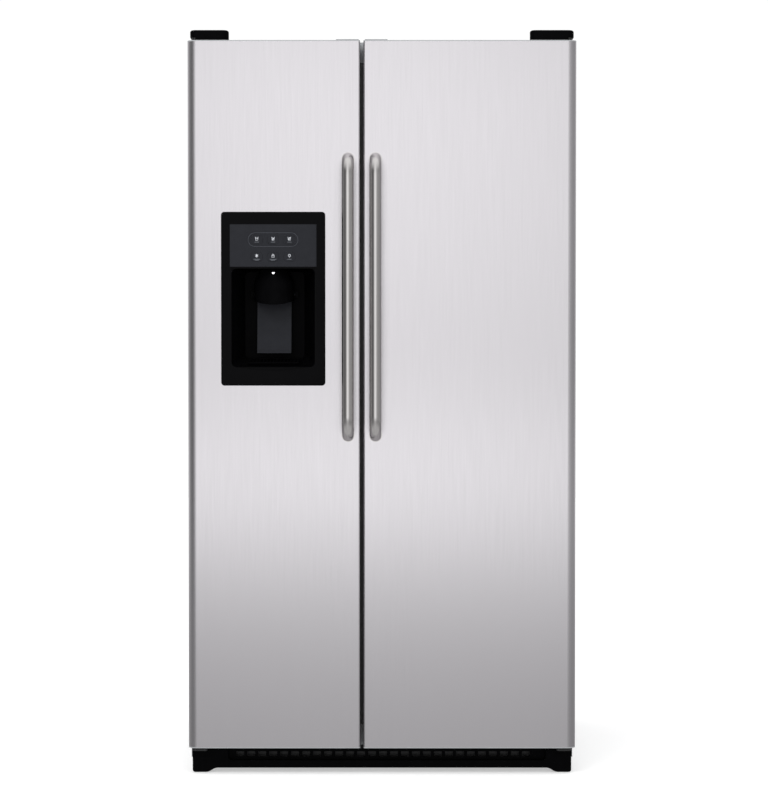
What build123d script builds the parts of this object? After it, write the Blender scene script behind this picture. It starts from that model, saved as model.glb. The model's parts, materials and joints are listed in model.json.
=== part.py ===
from build123d import *
import os

# Side by side refrigerator: a steel cabinet with a narrow freezer on the left and a wide fresh food
# compartment on the right, each behind its own stainless door, with an ice and water dispenser.
# Millimetres. X runs to the right as seen from the front, Y runs from the front to the back, Z is up.
# The origin is on the floor, at the middle of the overall width and depth.

# ---------------------------------------------------------------- overall size
WIDTH = 908  # across the two doors
CASE_WIDTH = 904
CASE_DEPTH = 710
DOOR_THICKNESS = 60
SEAL_GAP = 10  # between a closed door's back and the cabinet's front, filled by the gasket
HANDLE_REACH = 62  # how far the handles stand out from the door faces
DEPTH = HANDLE_REACH + DOOR_THICKNESS + SEAL_GAP + CASE_DEPTH

DOOR_BOTTOM = 64
DOOR_TOP = 1718
CASE_TOP = 1722
COVER_TOP = 1743  # top of the hinge covers, the highest point

FACE = HANDLE_REACH - DEPTH / 2  # y of the door faces
DOOR_BACK = FACE + DOOR_THICKNESS
CASE_FRONT = DOOR_BACK + SEAL_GAP
CASE_BACK = CASE_FRONT + CASE_DEPTH

# ---------------------------------------------------------------- sheet, liners and walls
SHEET = 1  # steel sheet
LINER = 2  # moulded plastic liner
HALF_CASE = CASE_WIDTH / 2
FOAM_BOTTOM = 60
SHELL_BOTTOM = 30
SPLIT_X = -47  # middle of the gap between the doors
DOOR_GAP = 8
HALF_MULLION = 28  # from the split to the inside face of either liner
FREEZER_LEFT = -397
FREEZER_RIGHT = SPLIT_X - HALF_MULLION
FRESH_LEFT = SPLIT_X + HALF_MULLION
FRESH_RIGHT = 407
CAVITY_FLOOR = 110
CAVITY_TOP = 1672
CAVITY_BACK = 366
STEP_BACK = 115  # the lower part of both compartments is shallower, in front of the machine room
STEP_HEIGHT = 375
CORNER = 14  # rounding along the compartments' side corners
BACK_CORNER = 24
MACHINE_FRONT = 160
MACHINE_TOP = 330

# ---------------------------------------------------------------- doors
FREEZER_DOOR = (-WIDTH / 2, SPLIT_X - DOOR_GAP / 2)
FRESH_DOOR = (SPLIT_X + DOOR_GAP / 2, WIDTH / 2)
HINGE_ROUND = 20  # door edge radius on the hinge side
FREE_ROUND = 4
CAP_PLATE = 2.5
CAP_PLUG = 12
PIN_INSET = 22  # hinge axis, from the door's side and from its face
PIN_X = WIDTH / 2 - PIN_INSET
PIN_Y = FACE + PIN_INSET
PIN_RADIUS = 5
BORE_RADIUS = 5.05
CORE_BOTTOM = DOOR_BOTTOM + CAP_PLATE + CAP_PLUG
CORE_TOP = DOOR_TOP - CAP_PLATE - CAP_PLUG
DIKE = 52  # height of the liner's raised border behind the door
DIKE_WIDTH = 26
DIKE_HINGE_GAP = 14  # border to compartment wall, on the hinge side, above and below
DIKE_FREE_GAP = 24  # the free side swings towards the wall, so it has more room
GASKET_WIDTH = 19
GASKET_HINGE_INSET = 24
GASKET_FREE_INSET = 3.5
GASKET_END_INSET = 12
BIN_BACK = -194  # how deep the door bins reach into the compartments
BIN_WALL = 2.5

# ---------------------------------------------------------------- hinge covers
COVER_BOTTOM = DOOR_TOP + 1.6  # over the door; behind it the cover stands on the cabinet's top
COVER_OUTSIDE = 448
COVER_SETBACK = 9  # from the door's face to the cover's front
COVER_LENGTH = 100  # behind the cabinet's front
COVER_TAPER = 16
COVER_WALL = 2
COVER_ROUND = 14
COVER_NOTCH = 13  # the outer end's raised underside
COVER_NOTCH_RISE = 7

# ---------------------------------------------------------------- handles
HANDLE_RADIUS = 14
HANDLE_BOTTOM = 784
HANDLE_TOP = 1456
HANDLE_OFFSET = 32  # from the split to each handle's centre line
HANDLE_BEND = 42

# ---------------------------------------------------------------- dispenser
BEZEL_X = (-375, -132)
BEZEL_Z = (914, 1319)
BEZEL_PROUD = 6
BEZEL_ROUND = 8
BEZEL_MIDDLE = (BEZEL_X[0] + BEZEL_X[1]) / 2
BEZEL_FRONT = FACE - BEZEL_PROUD
WELL_HALF = 97  # half the recess's width at its mouth
WELL_BACK_HALF = 70
WELL_Z = (957, 1187)
WELL_BACK_Z = (977, 1182)
WELL_ROUND = 12
WELL_DEPTH = 76
MOUTH_LEDGE = 2  # the surround's thickness where it covers the recess's edge
WELL_BACK = FACE + WELL_DEPTH
BULGE_Z = (905, 1345)  # insulated housing behind the dispenser
PANEL_HALF = 101
PANEL_Z = (1191, 1290)
PANEL_THICKNESS = 2
PANEL_POCKET = 4
PAD_PITCH = 38
PAD_SIZE = (27, 22)
PAD_ROWS = (1254, 1214)
PAD_NAMES = (("water", "crushed", "cubed"), ("quick_ice", "lock", "light"))
PAD_PLAY = 0.3
PADDLE_HALF = 40
PADDLE_PIVOT = (WELL_BACK - 12, 1128)
PADDLE_BOTTOM = 988
PADDLE_BAR = 4
CHUTE_HALF = 47
CHUTE_Z = (1103, 1181.5)
DUCT_HALF = (32, 20)  # half the ice duct's width and depth

# ---------------------------------------------------------------- underneath
RAIL_X = (418, 450)
RAIL_Z = (20, 58)
RAIL_WALL = 3
LEG_Y = -262
LEG_RADIUS = 16
STUD_RADIUS = 6
ROLLER_Y = 350
ROLLER_RADIUS = 25
AXLE_RADIUS = 4
GLAND_X = 425
GLAND_Z = 90
GLAND_RADIUS = 8
PAN_TOP = 53  # the plate that carries the compressor, condenser and fan
MACHINE_PARTS_Y = (195, 375)
COMPRESSOR_AXIS = (215, 290)
CAN_RADIUS = 80
TUBE_RADIUS = 4
FAN_CENTRE = (-60, 285, 165)
FAN_RADIUS = 78
SHAFT_RADIUS = 3
TURNING_GAP = 0.06  # between a shaft and what turns on it
GRILLE_Y = (FACE + 35, FACE + 62)
GRILLE_Z = (11, 55)
FOOT_Z = 1


# ================================================================ helpers
def block(x0, x1, y0, y1, z0, z1):
    """A box between two corners."""
    centre = ((x0 + x1) / 2, (y0 + y1) / 2, (z0 + z1) / 2)
    return Pos(*centre) * Box(abs(x1 - x0), abs(y1 - y0), abs(z1 - z0))


def rounded(shape, axis, radius):
    """The shape with its edges along one axis rounded."""
    return fillet(shape.edges().filter_by(axis), radius)


def rod_x(x0, x1, y, z, radius):
    return Pos((x0 + x1) / 2, y, z) * Rot(0, 90, 0) * Cylinder(radius, abs(x1 - x0))


def rod_y(x, y0, y1, z, radius):
    return Pos(x, (y0 + y1) / 2, z) * Rot(90, 0, 0) * Cylinder(radius, abs(y1 - y0))


def rod_z(x, y, z0, z1, radius):
    return Pos(x, y, (z0 + z1) / 2) * Cylinder(radius, abs(z1 - z0))


def prism_xz(outline, y0, y1):
    """A flat outline in X and Z, as thick as y0 to y1."""
    return extrude(Plane.XZ.offset(-y1) * outline, y1 - y0)


def prism_yz(outline, x0, x1):
    """A flat outline in Y and Z, as thick as x0 to x1."""
    return extrude(Plane.YZ.offset(x0) * outline, x1 - x0)


def group(shapes):
    """Separate solids that share one node."""
    return Compound(children=[solid for shape in shapes for solid in shape.solids()])


def tub(x0, x1, y0, y1, z0, z1, wall, radius):
    """An open-topped box with rounded upright corners and a rounded bottom edge."""
    outer = rounded(block(x0, x1, y0, y1, z0, z1), Axis.Z, radius)
    outer = fillet(outer.faces().sort_by(Axis.Z)[0].edges(), wall * 1.6)
    inner = block(x0 + wall, x1 - wall, y0 + wall, y1 - wall, z0 + wall, z1 + 1)
    return outer - rounded(inner, Axis.Z, radius - wall)


def mirror_x(shape):
    return mirror(shape, about=Plane.YZ)


# ================================================================ cabinet
def cavity(x0, x1, grow):
    """The space inside a compartment, open to the front, grown by the liner's thickness or by 0."""
    front = CASE_FRONT - 20
    floor, step = CAVITY_FLOOR - grow, STEP_HEIGHT - grow
    top, back, step_back = CAVITY_TOP + grow, CAVITY_BACK + grow, STEP_BACK + grow
    corners = [
        (front, floor),
        (step_back, floor),
        (step_back, step),
        (back, step),
        (back, top),
        (front, top),
    ]
    shape = prism_yz(make_face(Polyline(corners, close=True)), x0 - grow, x1 + grow)
    cross = shape.edges().filter_by(Axis.X).sort_by(Axis.Y)[2:]
    reflex = cross.sort_by(lambda e: abs(e.center().Y - step_back) + abs(e.center().Z - step))[0]
    shape = fillet([reflex], BACK_CORNER - grow)
    cross = [e for e in shape.edges().filter_by(Axis.X) if e.center().Y > step_back - 1]
    convex = [e for e in cross if abs(e.center().Z - step) > BACK_CORNER or e.center().Y > back - 1]
    shape = fillet(convex, BACK_CORNER + grow)
    sides = [
        e
        for face in (shape.faces().sort_by(Axis.X)[0], shape.faces().sort_by(Axis.X)[-1])
        for e in face.edges()
        if e.center().Y > front + 1
    ]
    return fillet(sides, CORNER + grow)


def front_opening(y0, y1):
    """One rounded opening round both compartments, through the cabinet's front flange."""
    shape = block(
        FREEZER_LEFT - LINER, FRESH_RIGHT + LINER, y0, y1, CAVITY_FLOOR - LINER, CAVITY_TOP + LINER
    )
    return rounded(shape, Axis.Y, CORNER + LINER)


def case_block(inset, y0, y1, bottom):
    """The cabinet's outside, with its folded top edges, inset by the steel's thickness or by 0."""
    half = HALF_CASE - inset
    shape = block(-half, half, y0, y1, bottom, CASE_TOP - inset)
    top_edges = shape.edges().filter_by(Axis.Y).sort_by(Axis.Z)[-2:]
    return fillet(top_edges, 8 - inset)


def cabinet_shell():
    wrapper = case_block(0, CASE_FRONT, CASE_BACK, SHELL_BOTTOM)
    wrapper -= case_block(SHEET, CASE_FRONT - 1, CASE_BACK + 1, SHELL_BOTTOM - 1)
    flange = case_block(SHEET, CASE_FRONT, CASE_FRONT + SHEET, FOAM_BOTTOM)
    flange -= front_opening(CASE_FRONT - 1, CASE_FRONT + SHEET + 1)
    return wrapper + flange


def back_panel():
    panel = case_block(SHEET, CASE_BACK - SHEET, CASE_BACK, MACHINE_TOP)
    return panel


def mullion_bar(freezer_space, fresh_space):
    """The steel strip between the two compartments, which both gaskets close on."""
    return front_opening(CASE_FRONT, CASE_FRONT + SHEET) - freezer_space - fresh_space


def cabinet_insulation():
    """The foam round both compartments, in plain slabs that meet face to face. The liners' rounded
    corners stand just clear of its square ones."""
    front, back = CASE_FRONT + SHEET, CASE_BACK - SHEET
    foam = case_block(SHEET, front, back, FOAM_BOTTOM)
    floor, step, top = CAVITY_FLOOR - LINER, STEP_HEIGHT - LINER, CAVITY_TOP + LINER
    step_back, cavity_back = STEP_BACK + LINER, CAVITY_BACK + LINER
    walls = [
        (-HALF_CASE, FREEZER_LEFT - LINER),
        (FREEZER_RIGHT + LINER, FRESH_LEFT - LINER),
        (FRESH_RIGHT + LINER, HALF_CASE),
    ]
    spaces = [(FREEZER_LEFT - LINER, FREEZER_RIGHT + LINER), (FRESH_LEFT - LINER, FRESH_RIGHT + LINER)]
    parts = []
    for x0, x1 in walls:
        parts.append(block(x0, x1, front, MACHINE_FRONT, FOAM_BOTTOM, CASE_TOP))
        parts.append(block(x0, x1, MACHINE_FRONT, back, MACHINE_TOP, CASE_TOP))
    for x0, x1 in spaces:
        parts.append(block(x0, x1, front, MACHINE_FRONT, FOAM_BOTTOM, floor))
        ledge = block(x0, x1, step_back, MACHINE_FRONT, floor, step)
        edge = ledge.edges().filter_by(Axis.X).sort_by(lambda e: e.center().Z - e.center().Y)[-1]
        parts.append(fillet(edge, BACK_CORNER - LINER))
        parts.append(block(x0, x1, MACHINE_FRONT, back, MACHINE_TOP, step))
        parts.append(block(x0, x1, cavity_back, back, step, top))
        parts.append(block(x0, x1, front, back, top, CASE_TOP))
    return group([foam & part for part in parts])


def compartment_liner(outside, inside):
    trim = block(-HALF_CASE, HALF_CASE, CASE_FRONT - 40, CASE_FRONT, 0, CASE_TOP)
    return outside - inside - trim


# ================================================================ underneath and behind
def base_frame():
    """Two inverted channels joined by cross members, with the compressor's pan behind."""
    channel = block(*RAIL_X, CASE_FRONT + 4, CASE_BACK - 2, *RAIL_Z)
    channel -= block(
        RAIL_X[0] + RAIL_WALL, RAIL_X[1] - RAIL_WALL, CASE_FRONT, CASE_BACK, 0, RAIL_Z[1] - RAIL_WALL
    )
    middle = (RAIL_X[0] + RAIL_X[1]) / 2
    channel += rod_z(middle, LEG_Y, 30, RAIL_Z[1] - RAIL_WALL, STUD_RADIUS + 3)
    channel -= rod_z(middle, LEG_Y, 20, RAIL_Z[1] - RAIL_WALL, STUD_RADIUS + 0.1)
    channel += rod_x(*RAIL_X, ROLLER_Y, ROLLER_RADIUS, AXLE_RADIUS)
    frame = channel + mirror_x(channel)
    frame += block(-RAIL_X[0], RAIL_X[0], CASE_FRONT + 4, CASE_FRONT + 7, *RAIL_Z)
    frame += block(-RAIL_X[0], RAIL_X[0], CASE_FRONT + 4, CASE_FRONT + 26, RAIL_Z[1] - 3, RAIL_Z[1])
    frame += block(-RAIL_X[0], RAIL_X[0], MACHINE_FRONT - 3, CASE_BACK - 6, PAN_TOP - 3, PAN_TOP)
    frame += block(-RAIL_X[0], RAIL_X[0], MACHINE_FRONT - 3, MACHINE_FRONT, PAN_TOP - 3, RAIL_Z[1])
    frame += block(
        SHEET - HALF_CASE, HALF_CASE - SHEET, CASE_FRONT + 2, MACHINE_FRONT, RAIL_Z[1], FOAM_BOTTOM
    )
    return frame


def levelling_leg():
    middle = (RAIL_X[0] + RAIL_X[1]) / 2
    foot = rod_z(middle, LEG_Y, 0, 10, LEG_RADIUS)
    foot = chamfer(foot.faces().sort_by(Axis.Z)[-1].edges(), 3)
    hexagon = extrude(Pos(middle, LEG_Y, 10) * RegularPolygon(9.5, 6), 8)
    return foot + hexagon + rod_z(middle, LEG_Y, 18, 47, STUD_RADIUS)


def roller():
    """A wheel with a rounded tread and webbed sides, on the channel's axle."""
    middle = (RAIL_X[0] + RAIL_X[1]) / 2
    half = 10
    wheel = rod_x(middle - half, middle + half, ROLLER_Y, ROLLER_RADIUS, ROLLER_RADIUS)
    wheel = fillet(wheel.edges().filter_by(GeomType.CIRCLE), 2.5)
    for side in (-half, half):
        groove = rod_x(middle + side - 3, middle + side + 3, ROLLER_Y, ROLLER_RADIUS, 19)
        groove -= rod_x(middle + side - 4, middle + side + 4, ROLLER_Y, ROLLER_RADIUS, 9)
        wheel -= groove
    return wheel - rod_x(middle - 20, middle + 20, ROLLER_Y, ROLLER_RADIUS, AXLE_RADIUS + TURNING_GAP)


def base_grille():
    """The toe grille: a bar with a recessed, slotted middle and a rounded foot at each end."""
    z0, z1 = GRILLE_Z
    end = 447
    half = (
        Line((0, z0), (386, z0))
        + Bezier((386, z0), (401, z0), (402, FOOT_Z), (417, FOOT_Z))
        + Line((417, FOOT_Z), (end - 6, FOOT_Z))
        + ThreePointArc((end - 6, FOOT_Z), (end - 1.76, FOOT_Z + 1.76), (end, FOOT_Z + 6))
        + Line((end, FOOT_Z + 6), (end, z1))
        + Line((end, z1), (0, z1))
        + Line((0, z1), (0, z0))
    )
    bar = prism_xz(make_face(half), *GRILLE_Y)
    bar += mirror_x(bar)
    bar = fillet(bar.edges().group_by(Axis.Y)[0], 2.5)
    pocket = rounded(block(-363, 387, GRILLE_Y[0] - 1, GRILLE_Y[0] + 12, 29, z1 + 30), Axis.Y, 9)
    bar -= pocket
    bar -= block(-430, 430, GRILLE_Y[0] + 16, GRILLE_Y[1] + 1, 16, z1 + 1)
    slots = [block(x, x + 19, GRILLE_Y[0], GRILLE_Y[1] + 1, 35, 48) for x in range(-345, 355, 26)]
    return bar - slots


def machine_room_cover():
    """The panel behind the compressor, with rows of air slots."""
    y0, y1 = CASE_BACK - 3, CASE_BACK
    cover = block(1 - HALF_CASE, HALF_CASE - 1, y0, y1, FOAM_BOTTOM, MACHINE_TOP)
    slots = []
    for x in range(-390, 380, 40):
        for z in range(100, 300, 24):
            slots.append(block(x, x + 28, y0 - 1, y1 + 1, z, z + 8))
    return cover - slots - rod_y(GLAND_X, y0 - 1, y1 + 1, GLAND_Z, GLAND_RADIUS)


def cord_gland():
    """The grommet in the machine room cover where a power cord would leave."""
    ring = rod_y(GLAND_X, CASE_BACK - 12, CASE_BACK, GLAND_Z, GLAND_RADIUS)
    ring += rod_y(GLAND_X, CASE_BACK - 6, CASE_BACK - 3, GLAND_Z, GLAND_RADIUS + 3)
    return ring - rod_y(GLAND_X, CASE_BACK - 13, CASE_BACK + 1, GLAND_Z, 4.5)


def compressor():
    """A two-part welded can on a base plate with four rubber mounts and a terminal cover."""
    x, y = COMPRESSOR_AXIS
    floor, top = PAN_TOP + 17, 236
    seam = (150, 158)
    can = rod_z(x, y, floor, top, CAN_RADIUS)
    can = fillet(can.edges().filter_by(GeomType.CIRCLE).sort_by(Axis.Z)[-1], 46)
    can = fillet(can.edges().filter_by(GeomType.CIRCLE).sort_by(Axis.Z)[0], 16)
    can += rod_z(x, y, *seam, CAN_RADIUS + 5)
    half_x, half_y = 105, 70
    can += rounded(block(x - half_x, x + half_x, y - half_y, y + half_y, floor - 4, floor), Axis.Z, 20)
    for side in (-1, 1):
        for end in (-1, 1):
            can += rod_z(x + side * (half_x - 17), y + end * (half_y - 16), PAN_TOP, floor - 4, 11)
    terminals = block(x - CAN_RADIUS - 38, x - CAN_RADIUS + 20, y - 30, y + 30, floor + 30, floor + 95)
    can += rounded(terminals, Axis.X, 8)
    return can + rod_x(x + CAN_RADIUS - 20, x + CAN_RADIUS + 24, y, floor + 50, 5)


def serpentine(points, radius, bend):
    """One tube bent back and forth through the points."""
    path = FilletPolyline(*points, radius=bend)
    return sweep(Plane(path @ 0, z_dir=path % 0) * Circle(radius), path=path)


def to_and_fro(x0, x1, y, z, pitch, rows):
    """The corners of a tube that runs from side to side, one row above another."""
    points = []
    for i in range(rows):
        ends = (x0, x1) if i % 2 == 0 else (x1, x0)
        points += [(ends[0], y, z + pitch * i), (ends[1], y, z + pitch * i)]
    return points


def bend(pitch):
    """The largest bend that fits between two rows of tube."""
    return pitch / 2 - 0.1


def condenser_coil():
    """Three rows of tube and two end plates, beside the compressor."""
    pitch = 26
    rows = []
    for y in (215, 285, 355):
        rows.append(serpentine(to_and_fro(-400, -150, y, 80, pitch, 7), TUBE_RADIUS, bend(pitch)))
    coil = group(rows)
    plates = [block(x, x + 2, *MACHINE_PARTS_Y, PAN_TOP, 255) - coil for x in (-370, -275, -180)]
    return group([coil] + plates)


def condenser_fan_motor():
    """The fan's ring-shaped shroud, with three arms that carry the motor."""
    x, y, z = FAN_CENTRE
    shroud = block(x, x + 3, *MACHINE_PARTS_Y, PAN_TOP, 275) - rod_x(x - 1, x + 4, y, z, FAN_RADIUS + 6)
    motor = rod_x(x + 8, x + 50, y, z, 26)
    for turn in (0, 120, 240):
        arm = Pos(x + 11, y, z) * Rot(turn, 0, 0) * Pos(0, 0, 52) * Box(5, 12, 80)
        motor += arm
        motor += Pos(x + 7, y, z) * Rot(turn, 0, 0) * Pos(0, 0, 90) * Box(14, 12, 10)
    motor += rod_x(x - 16, x + 8, y, z, SHAFT_RADIUS)
    return motor + shroud


def condenser_fan():
    """A hub with five pitched blades, on the motor's shaft."""
    x, y, z = FAN_CENTRE
    x -= 7
    fan = rod_x(x - 11, x + 9, y, z, 17)
    for turn in range(0, 360, 72):
        blade = Pos(0, 0, 47) * Rot(0, 0, 58) * Box(2.5, 44, 66)
        blade &= rod_x(-9, 8, 0, 0, FAN_RADIUS)
        fan += Pos(x, y, z) * Rot(turn, 0, 0) * blade
    return fan - rod_x(x - 20, x + 20, y, z, SHAFT_RADIUS + TURNING_GAP)


def evaporator_coil():
    """Two rows of tube through a stack of upright fins, behind the freezer's back panel."""
    pitch = 30
    bottom = 470
    rows = []
    for y in (316, 342):
        rows.append(serpentine(to_and_fro(-375, -97, y, bottom, pitch, 9), TUBE_RADIUS, bend(pitch)))
    coil = group(rows)
    fins = [block(x, x + 1, 303, 355, bottom - 15, bottom + 255) - coil for x in range(-345, -120, 15)]
    return group([coil] + fins)


def evaporator_cover(space):
    """The freezer's removable back panel, with air slots near its top and foot."""
    panel = block(FREEZER_LEFT - 5, FREEZER_RIGHT + 5, 288, 291, STEP_HEIGHT + 1, CAVITY_TOP + 5) & space
    slots = []
    for x in range(-360, -120, 30):
        for z in (400, 416, 432, 1470, 1486, 1502):
            slots.append(block(x, x + 22, 280, 300, z, z + 7))
    return panel - slots


# ================================================================ hinges
def top_hinge():
    """Right-hand leaf on the cabinet's top, with the pin that drops into the door's cap."""
    leaf = block(PIN_X - 16, PIN_X + 11, PIN_Y - 9, CASE_FRONT + 20, CASE_TOP, CASE_TOP + 4)
    leaf += block(PIN_X - 52, PIN_X + 11, CASE_FRONT + 8, CASE_FRONT + 85, CASE_TOP, CASE_TOP + 4)
    leaf = rounded(leaf, Axis.Z, 6)
    for x in (PIN_X - 38, PIN_X - 6):
        for y in (CASE_FRONT + 34, CASE_FRONT + 68):
            leaf += rod_z(x, y, CASE_TOP + 4, CASE_TOP + 8, 6)
    return leaf + rod_z(PIN_X, PIN_Y, CORE_TOP + 1.5, CASE_TOP + 1, PIN_RADIUS)


def bottom_hinge():
    """Right-hand bracket under the door: a shelf with the lower pin, on an upright plate."""
    shelf = block(PIN_X - 22, PIN_X + 13, PIN_Y - 13, CASE_FRONT + 2, 56, 60)
    upright = block(PIN_X - 60, PIN_X + 13, CASE_FRONT - 2, CASE_FRONT + 2, 32, 60)
    bracket = rounded(shelf, Axis.Z, 5) + upright
    bracket += rod_z(PIN_X, PIN_Y, 60, DOOR_BOTTOM - 0.3, 9)
    return bracket + rod_z(PIN_X, PIN_Y, 60, CORE_BOTTOM - 1.5, PIN_RADIUS)


def hinge_cover(width):
    """Right-hand moulded cover over a top hinge, hollow beneath. Its front stands over the door, and it
    narrows towards the back."""
    outside, front, back = COVER_OUTSIDE, FACE + COVER_SETBACK, CASE_FRONT + COVER_LENGTH

    def plan(inset, bottom, top, radius):
        corners = [
            (outside - width + inset, front + inset),
            (outside - inset, front + inset),
            (outside - inset, back - inset),
            (outside - width + COVER_TAPER + inset, back - inset),
        ]
        shape = extrude(Pos(0, 0, bottom) * make_face(Polyline(corners, close=True)), top - bottom)
        upright = shape.edges().filter_by(Axis.Z)
        return fillet(upright, radius)

    outer = plan(0, COVER_BOTTOM, COVER_TOP, COVER_ROUND)
    outer = fillet(outer.faces().sort_by(Axis.Z)[-1].edges(), 5)
    cover = outer - plan(COVER_WALL, COVER_BOTTOM - 1, COVER_TOP - COVER_WALL, COVER_ROUND - COVER_WALL)
    cover -= block(0, WIDTH, CASE_FRONT - 1, back + 1, COVER_BOTTOM - 1, CASE_TOP)
    notch_top = COVER_BOTTOM + COVER_NOTCH_RISE
    return cover - block(outside - COVER_NOTCH, WIDTH, front - 1, CASE_FRONT - 1, 0, notch_top)


# ================================================================ doors
def door_prism(span, hinge, inset, z0, z1, back=DOOR_BACK):
    """The door's plan outline between two heights: a large radius on the hinge side's front edge and
    a small one on the free side's. hinge is -1 or 1, for the side that the hinge is on."""
    shape = block(span[0] + inset, span[1] - inset, FACE + inset, back, z0, z1)
    front = shape.edges().filter_by(Axis.Z).sort_by(Axis.Y)[:2].sort_by(Axis.X)
    shape = fillet([front[0 if hinge < 0 else 1]], HINGE_ROUND - inset)
    side = shape.edges().filter_by(Axis.Z).sort_by(Axis.Y)
    free = min(side[:3], key=lambda e: e.center().X * hinge)
    return fillet([free], FREE_ROUND - inset)


def door_skin(span, hinge, openings=()):
    """One stainless sheet folded round the front and both sides."""
    z0, z1 = DOOR_BOTTOM + CAP_PLATE, DOOR_TOP - CAP_PLATE
    skin = door_prism(span, hinge, 0, z0, z1)
    skin -= door_prism(span, hinge, SHEET, z0 - 1, z1 + 1, DOOR_BACK + 1)
    for opening in openings:
        skin -= opening
    return skin


def door_caps(span, hinge):
    """Moulded caps that close the skin's top and bottom, each with a bore for its hinge pin."""
    pin_x = hinge * PIN_X
    top = door_prism(span, hinge, 0, DOOR_TOP - CAP_PLATE, DOOR_TOP)
    top += door_prism(span, hinge, SHEET, CORE_TOP, DOOR_TOP - CAP_PLATE)
    free = span[1] if hinge < 0 else span[0]
    inner = free + hinge * 56
    tab = block(free + hinge * 3, inner, FACE + 3, FACE + 44, DOOR_TOP, DOOR_TOP + 2.4)
    tab = rounded(tab, Axis.Z, 6)
    top += tab
    bottom = door_prism(span, hinge, 0, DOOR_BOTTOM, DOOR_BOTTOM + CAP_PLATE)
    bottom += door_prism(span, hinge, SHEET, DOOR_BOTTOM + CAP_PLATE, CORE_BOTTOM)
    bore = rod_z(pin_x, PIN_Y, DOOR_BOTTOM - 5, DOOR_TOP + 5, BORE_RADIUS)
    return group([top - bore, bottom - bore])


def door_frame(span, hinge):
    """Where a door's raised liner border lies, as x0, x1, z0, z1, from its compartment's walls."""
    left, right = (FREEZER_LEFT, FREEZER_RIGHT) if hinge < 0 else (FRESH_LEFT, FRESH_RIGHT)
    left_gap = DIKE_HINGE_GAP if hinge < 0 else DIKE_FREE_GAP
    right_gap = DIKE_FREE_GAP if hinge < 0 else DIKE_HINGE_GAP
    return (
        left + left_gap,
        right - right_gap,
        CAVITY_FLOOR + DIKE_HINGE_GAP,
        CAVITY_TOP - DIKE_HINGE_GAP,
    )


def dike(frame, inset, bulge):
    """The liner's raised border, inset by its own thickness or by 0, with the dispenser's housing."""
    x0, x1, z0, z1 = frame
    width = DIKE_WIDTH - inset
    start, end = DOOR_BACK - LINER, DOOR_BACK + DIKE - inset
    ring = block(x0 + inset, x1 - inset, start, end, z0 + inset, z1 - inset)
    ring -= block(x0 + width, x1 - width, start - 1, end + 1, z0 + width, z1 - width)
    if bulge:
        ring += block(x0 + 8, x1 - 8, start, end, BULGE_Z[0] + inset, BULGE_Z[1] - inset)
    return fillet(ring.faces().sort_by(Axis.Y)[-1].edges(), 8 - inset)


def dispenser_tiles():
    """Ranges of x and z that part the foam beside, below and above the dispenser's recess. The last one
    holds the ice duct."""
    left, right = BEZEL_MIDDLE - WELL_HALF - LINER, BEZEL_MIDDLE + WELL_HALF + LINER
    near, far = BEZEL_MIDDLE - DUCT_HALF[0], BEZEL_MIDDLE + DUCT_HALF[0]
    low, high = BULGE_Z
    under, over = WELL_Z[0] - LINER, WELL_Z[1] + LINER
    return [
        (-WIDTH, left, low, high),
        (right, WIDTH, low, high),
        (left, right, low, under),
        (left, near, over, high),
        (far, right, over, high),
        (near, far, over, high),
    ]


def border_parts(frame, bulge):
    """Boxes that part the foam in the raised border: a bar for each side and end, and the dispenser's
    housing round and behind the recess."""
    x0, x1, z0, z1 = frame
    left, right = x0 + DIKE_WIDTH - LINER, x1 - DIKE_WIDTH + LINER
    ends = [(z0, z0 + DIKE_WIDTH - LINER), (z1 - DIKE_WIDTH + LINER, z1)]
    spans = [(x0, left, z0, z1), (right, x1, z0, z1)]
    spans += [(left, right, *end) for end in ends]
    if bulge:
        spans += [(max(a, left), min(b, right), c, d) for a, b, c, d in dispenser_tiles()]
    parts = [block(a, b, DOOR_BACK - LINER, DOOR_BACK + DIKE, c, d) for a, b, c, d in spans]
    if bulge:
        half = WELL_HALF + LINER
        parts.append(
            block(
                BEZEL_MIDDLE - half, BEZEL_MIDDLE + half, WELL_BACK + LINER, DOOR_BACK + DIKE,
                WELL_Z[0] - LINER, WELL_Z[1] + LINER,
            )
        )
    return parts


def slab_parts(bulge):
    """Boxes that part the flat foam round the dispenser's recess, or one box for the whole."""
    if not bulge:
        return [block(-WIDTH, WIDTH, FACE, DOOR_BACK, 0, CASE_TOP)]
    ends = [(-WIDTH, WIDTH, 0, BULGE_Z[0]), (-WIDTH, WIDTH, BULGE_Z[1], CASE_TOP)]
    return [block(a, b, FACE, DOOR_BACK, c, d) for a, b, c, d in ends + dispenser_tiles()]


def door_core(span, hinge):
    """The foam between skin and liner, which also fills the liner's raised border. It is parted into
    plain blocks that meet face to face, with a square slot for the ice duct."""
    bulge = hinge < 0
    frame = door_frame(span, hinge)
    slab = door_prism(span, hinge, SHEET, CORE_BOTTOM, CORE_TOP, DOOR_BACK - LINER)
    border = dike(frame, LINER, bulge)
    pieces = [slab & part for part in slab_parts(bulge)]
    pieces += [border & part for part in border_parts(frame, bulge)]
    if bulge:
        slot = duct_slot()
        pieces = [(piece - slot).solids().sort_by(SortBy.VOLUME)[-1] for piece in pieces]
    return group(pieces)


def door_liner(span, hinge, openings=()):
    frame = door_frame(span, hinge)
    liner = block(
        span[0] + SHEET, span[1] - SHEET, DOOR_BACK - LINER, DOOR_BACK, CORE_BOTTOM, CORE_TOP
    )
    liner += dike(frame, 0, hinge < 0)
    liner -= dike(frame, LINER, hinge < 0)
    for opening in openings:
        liner -= opening
    return liner


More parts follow.
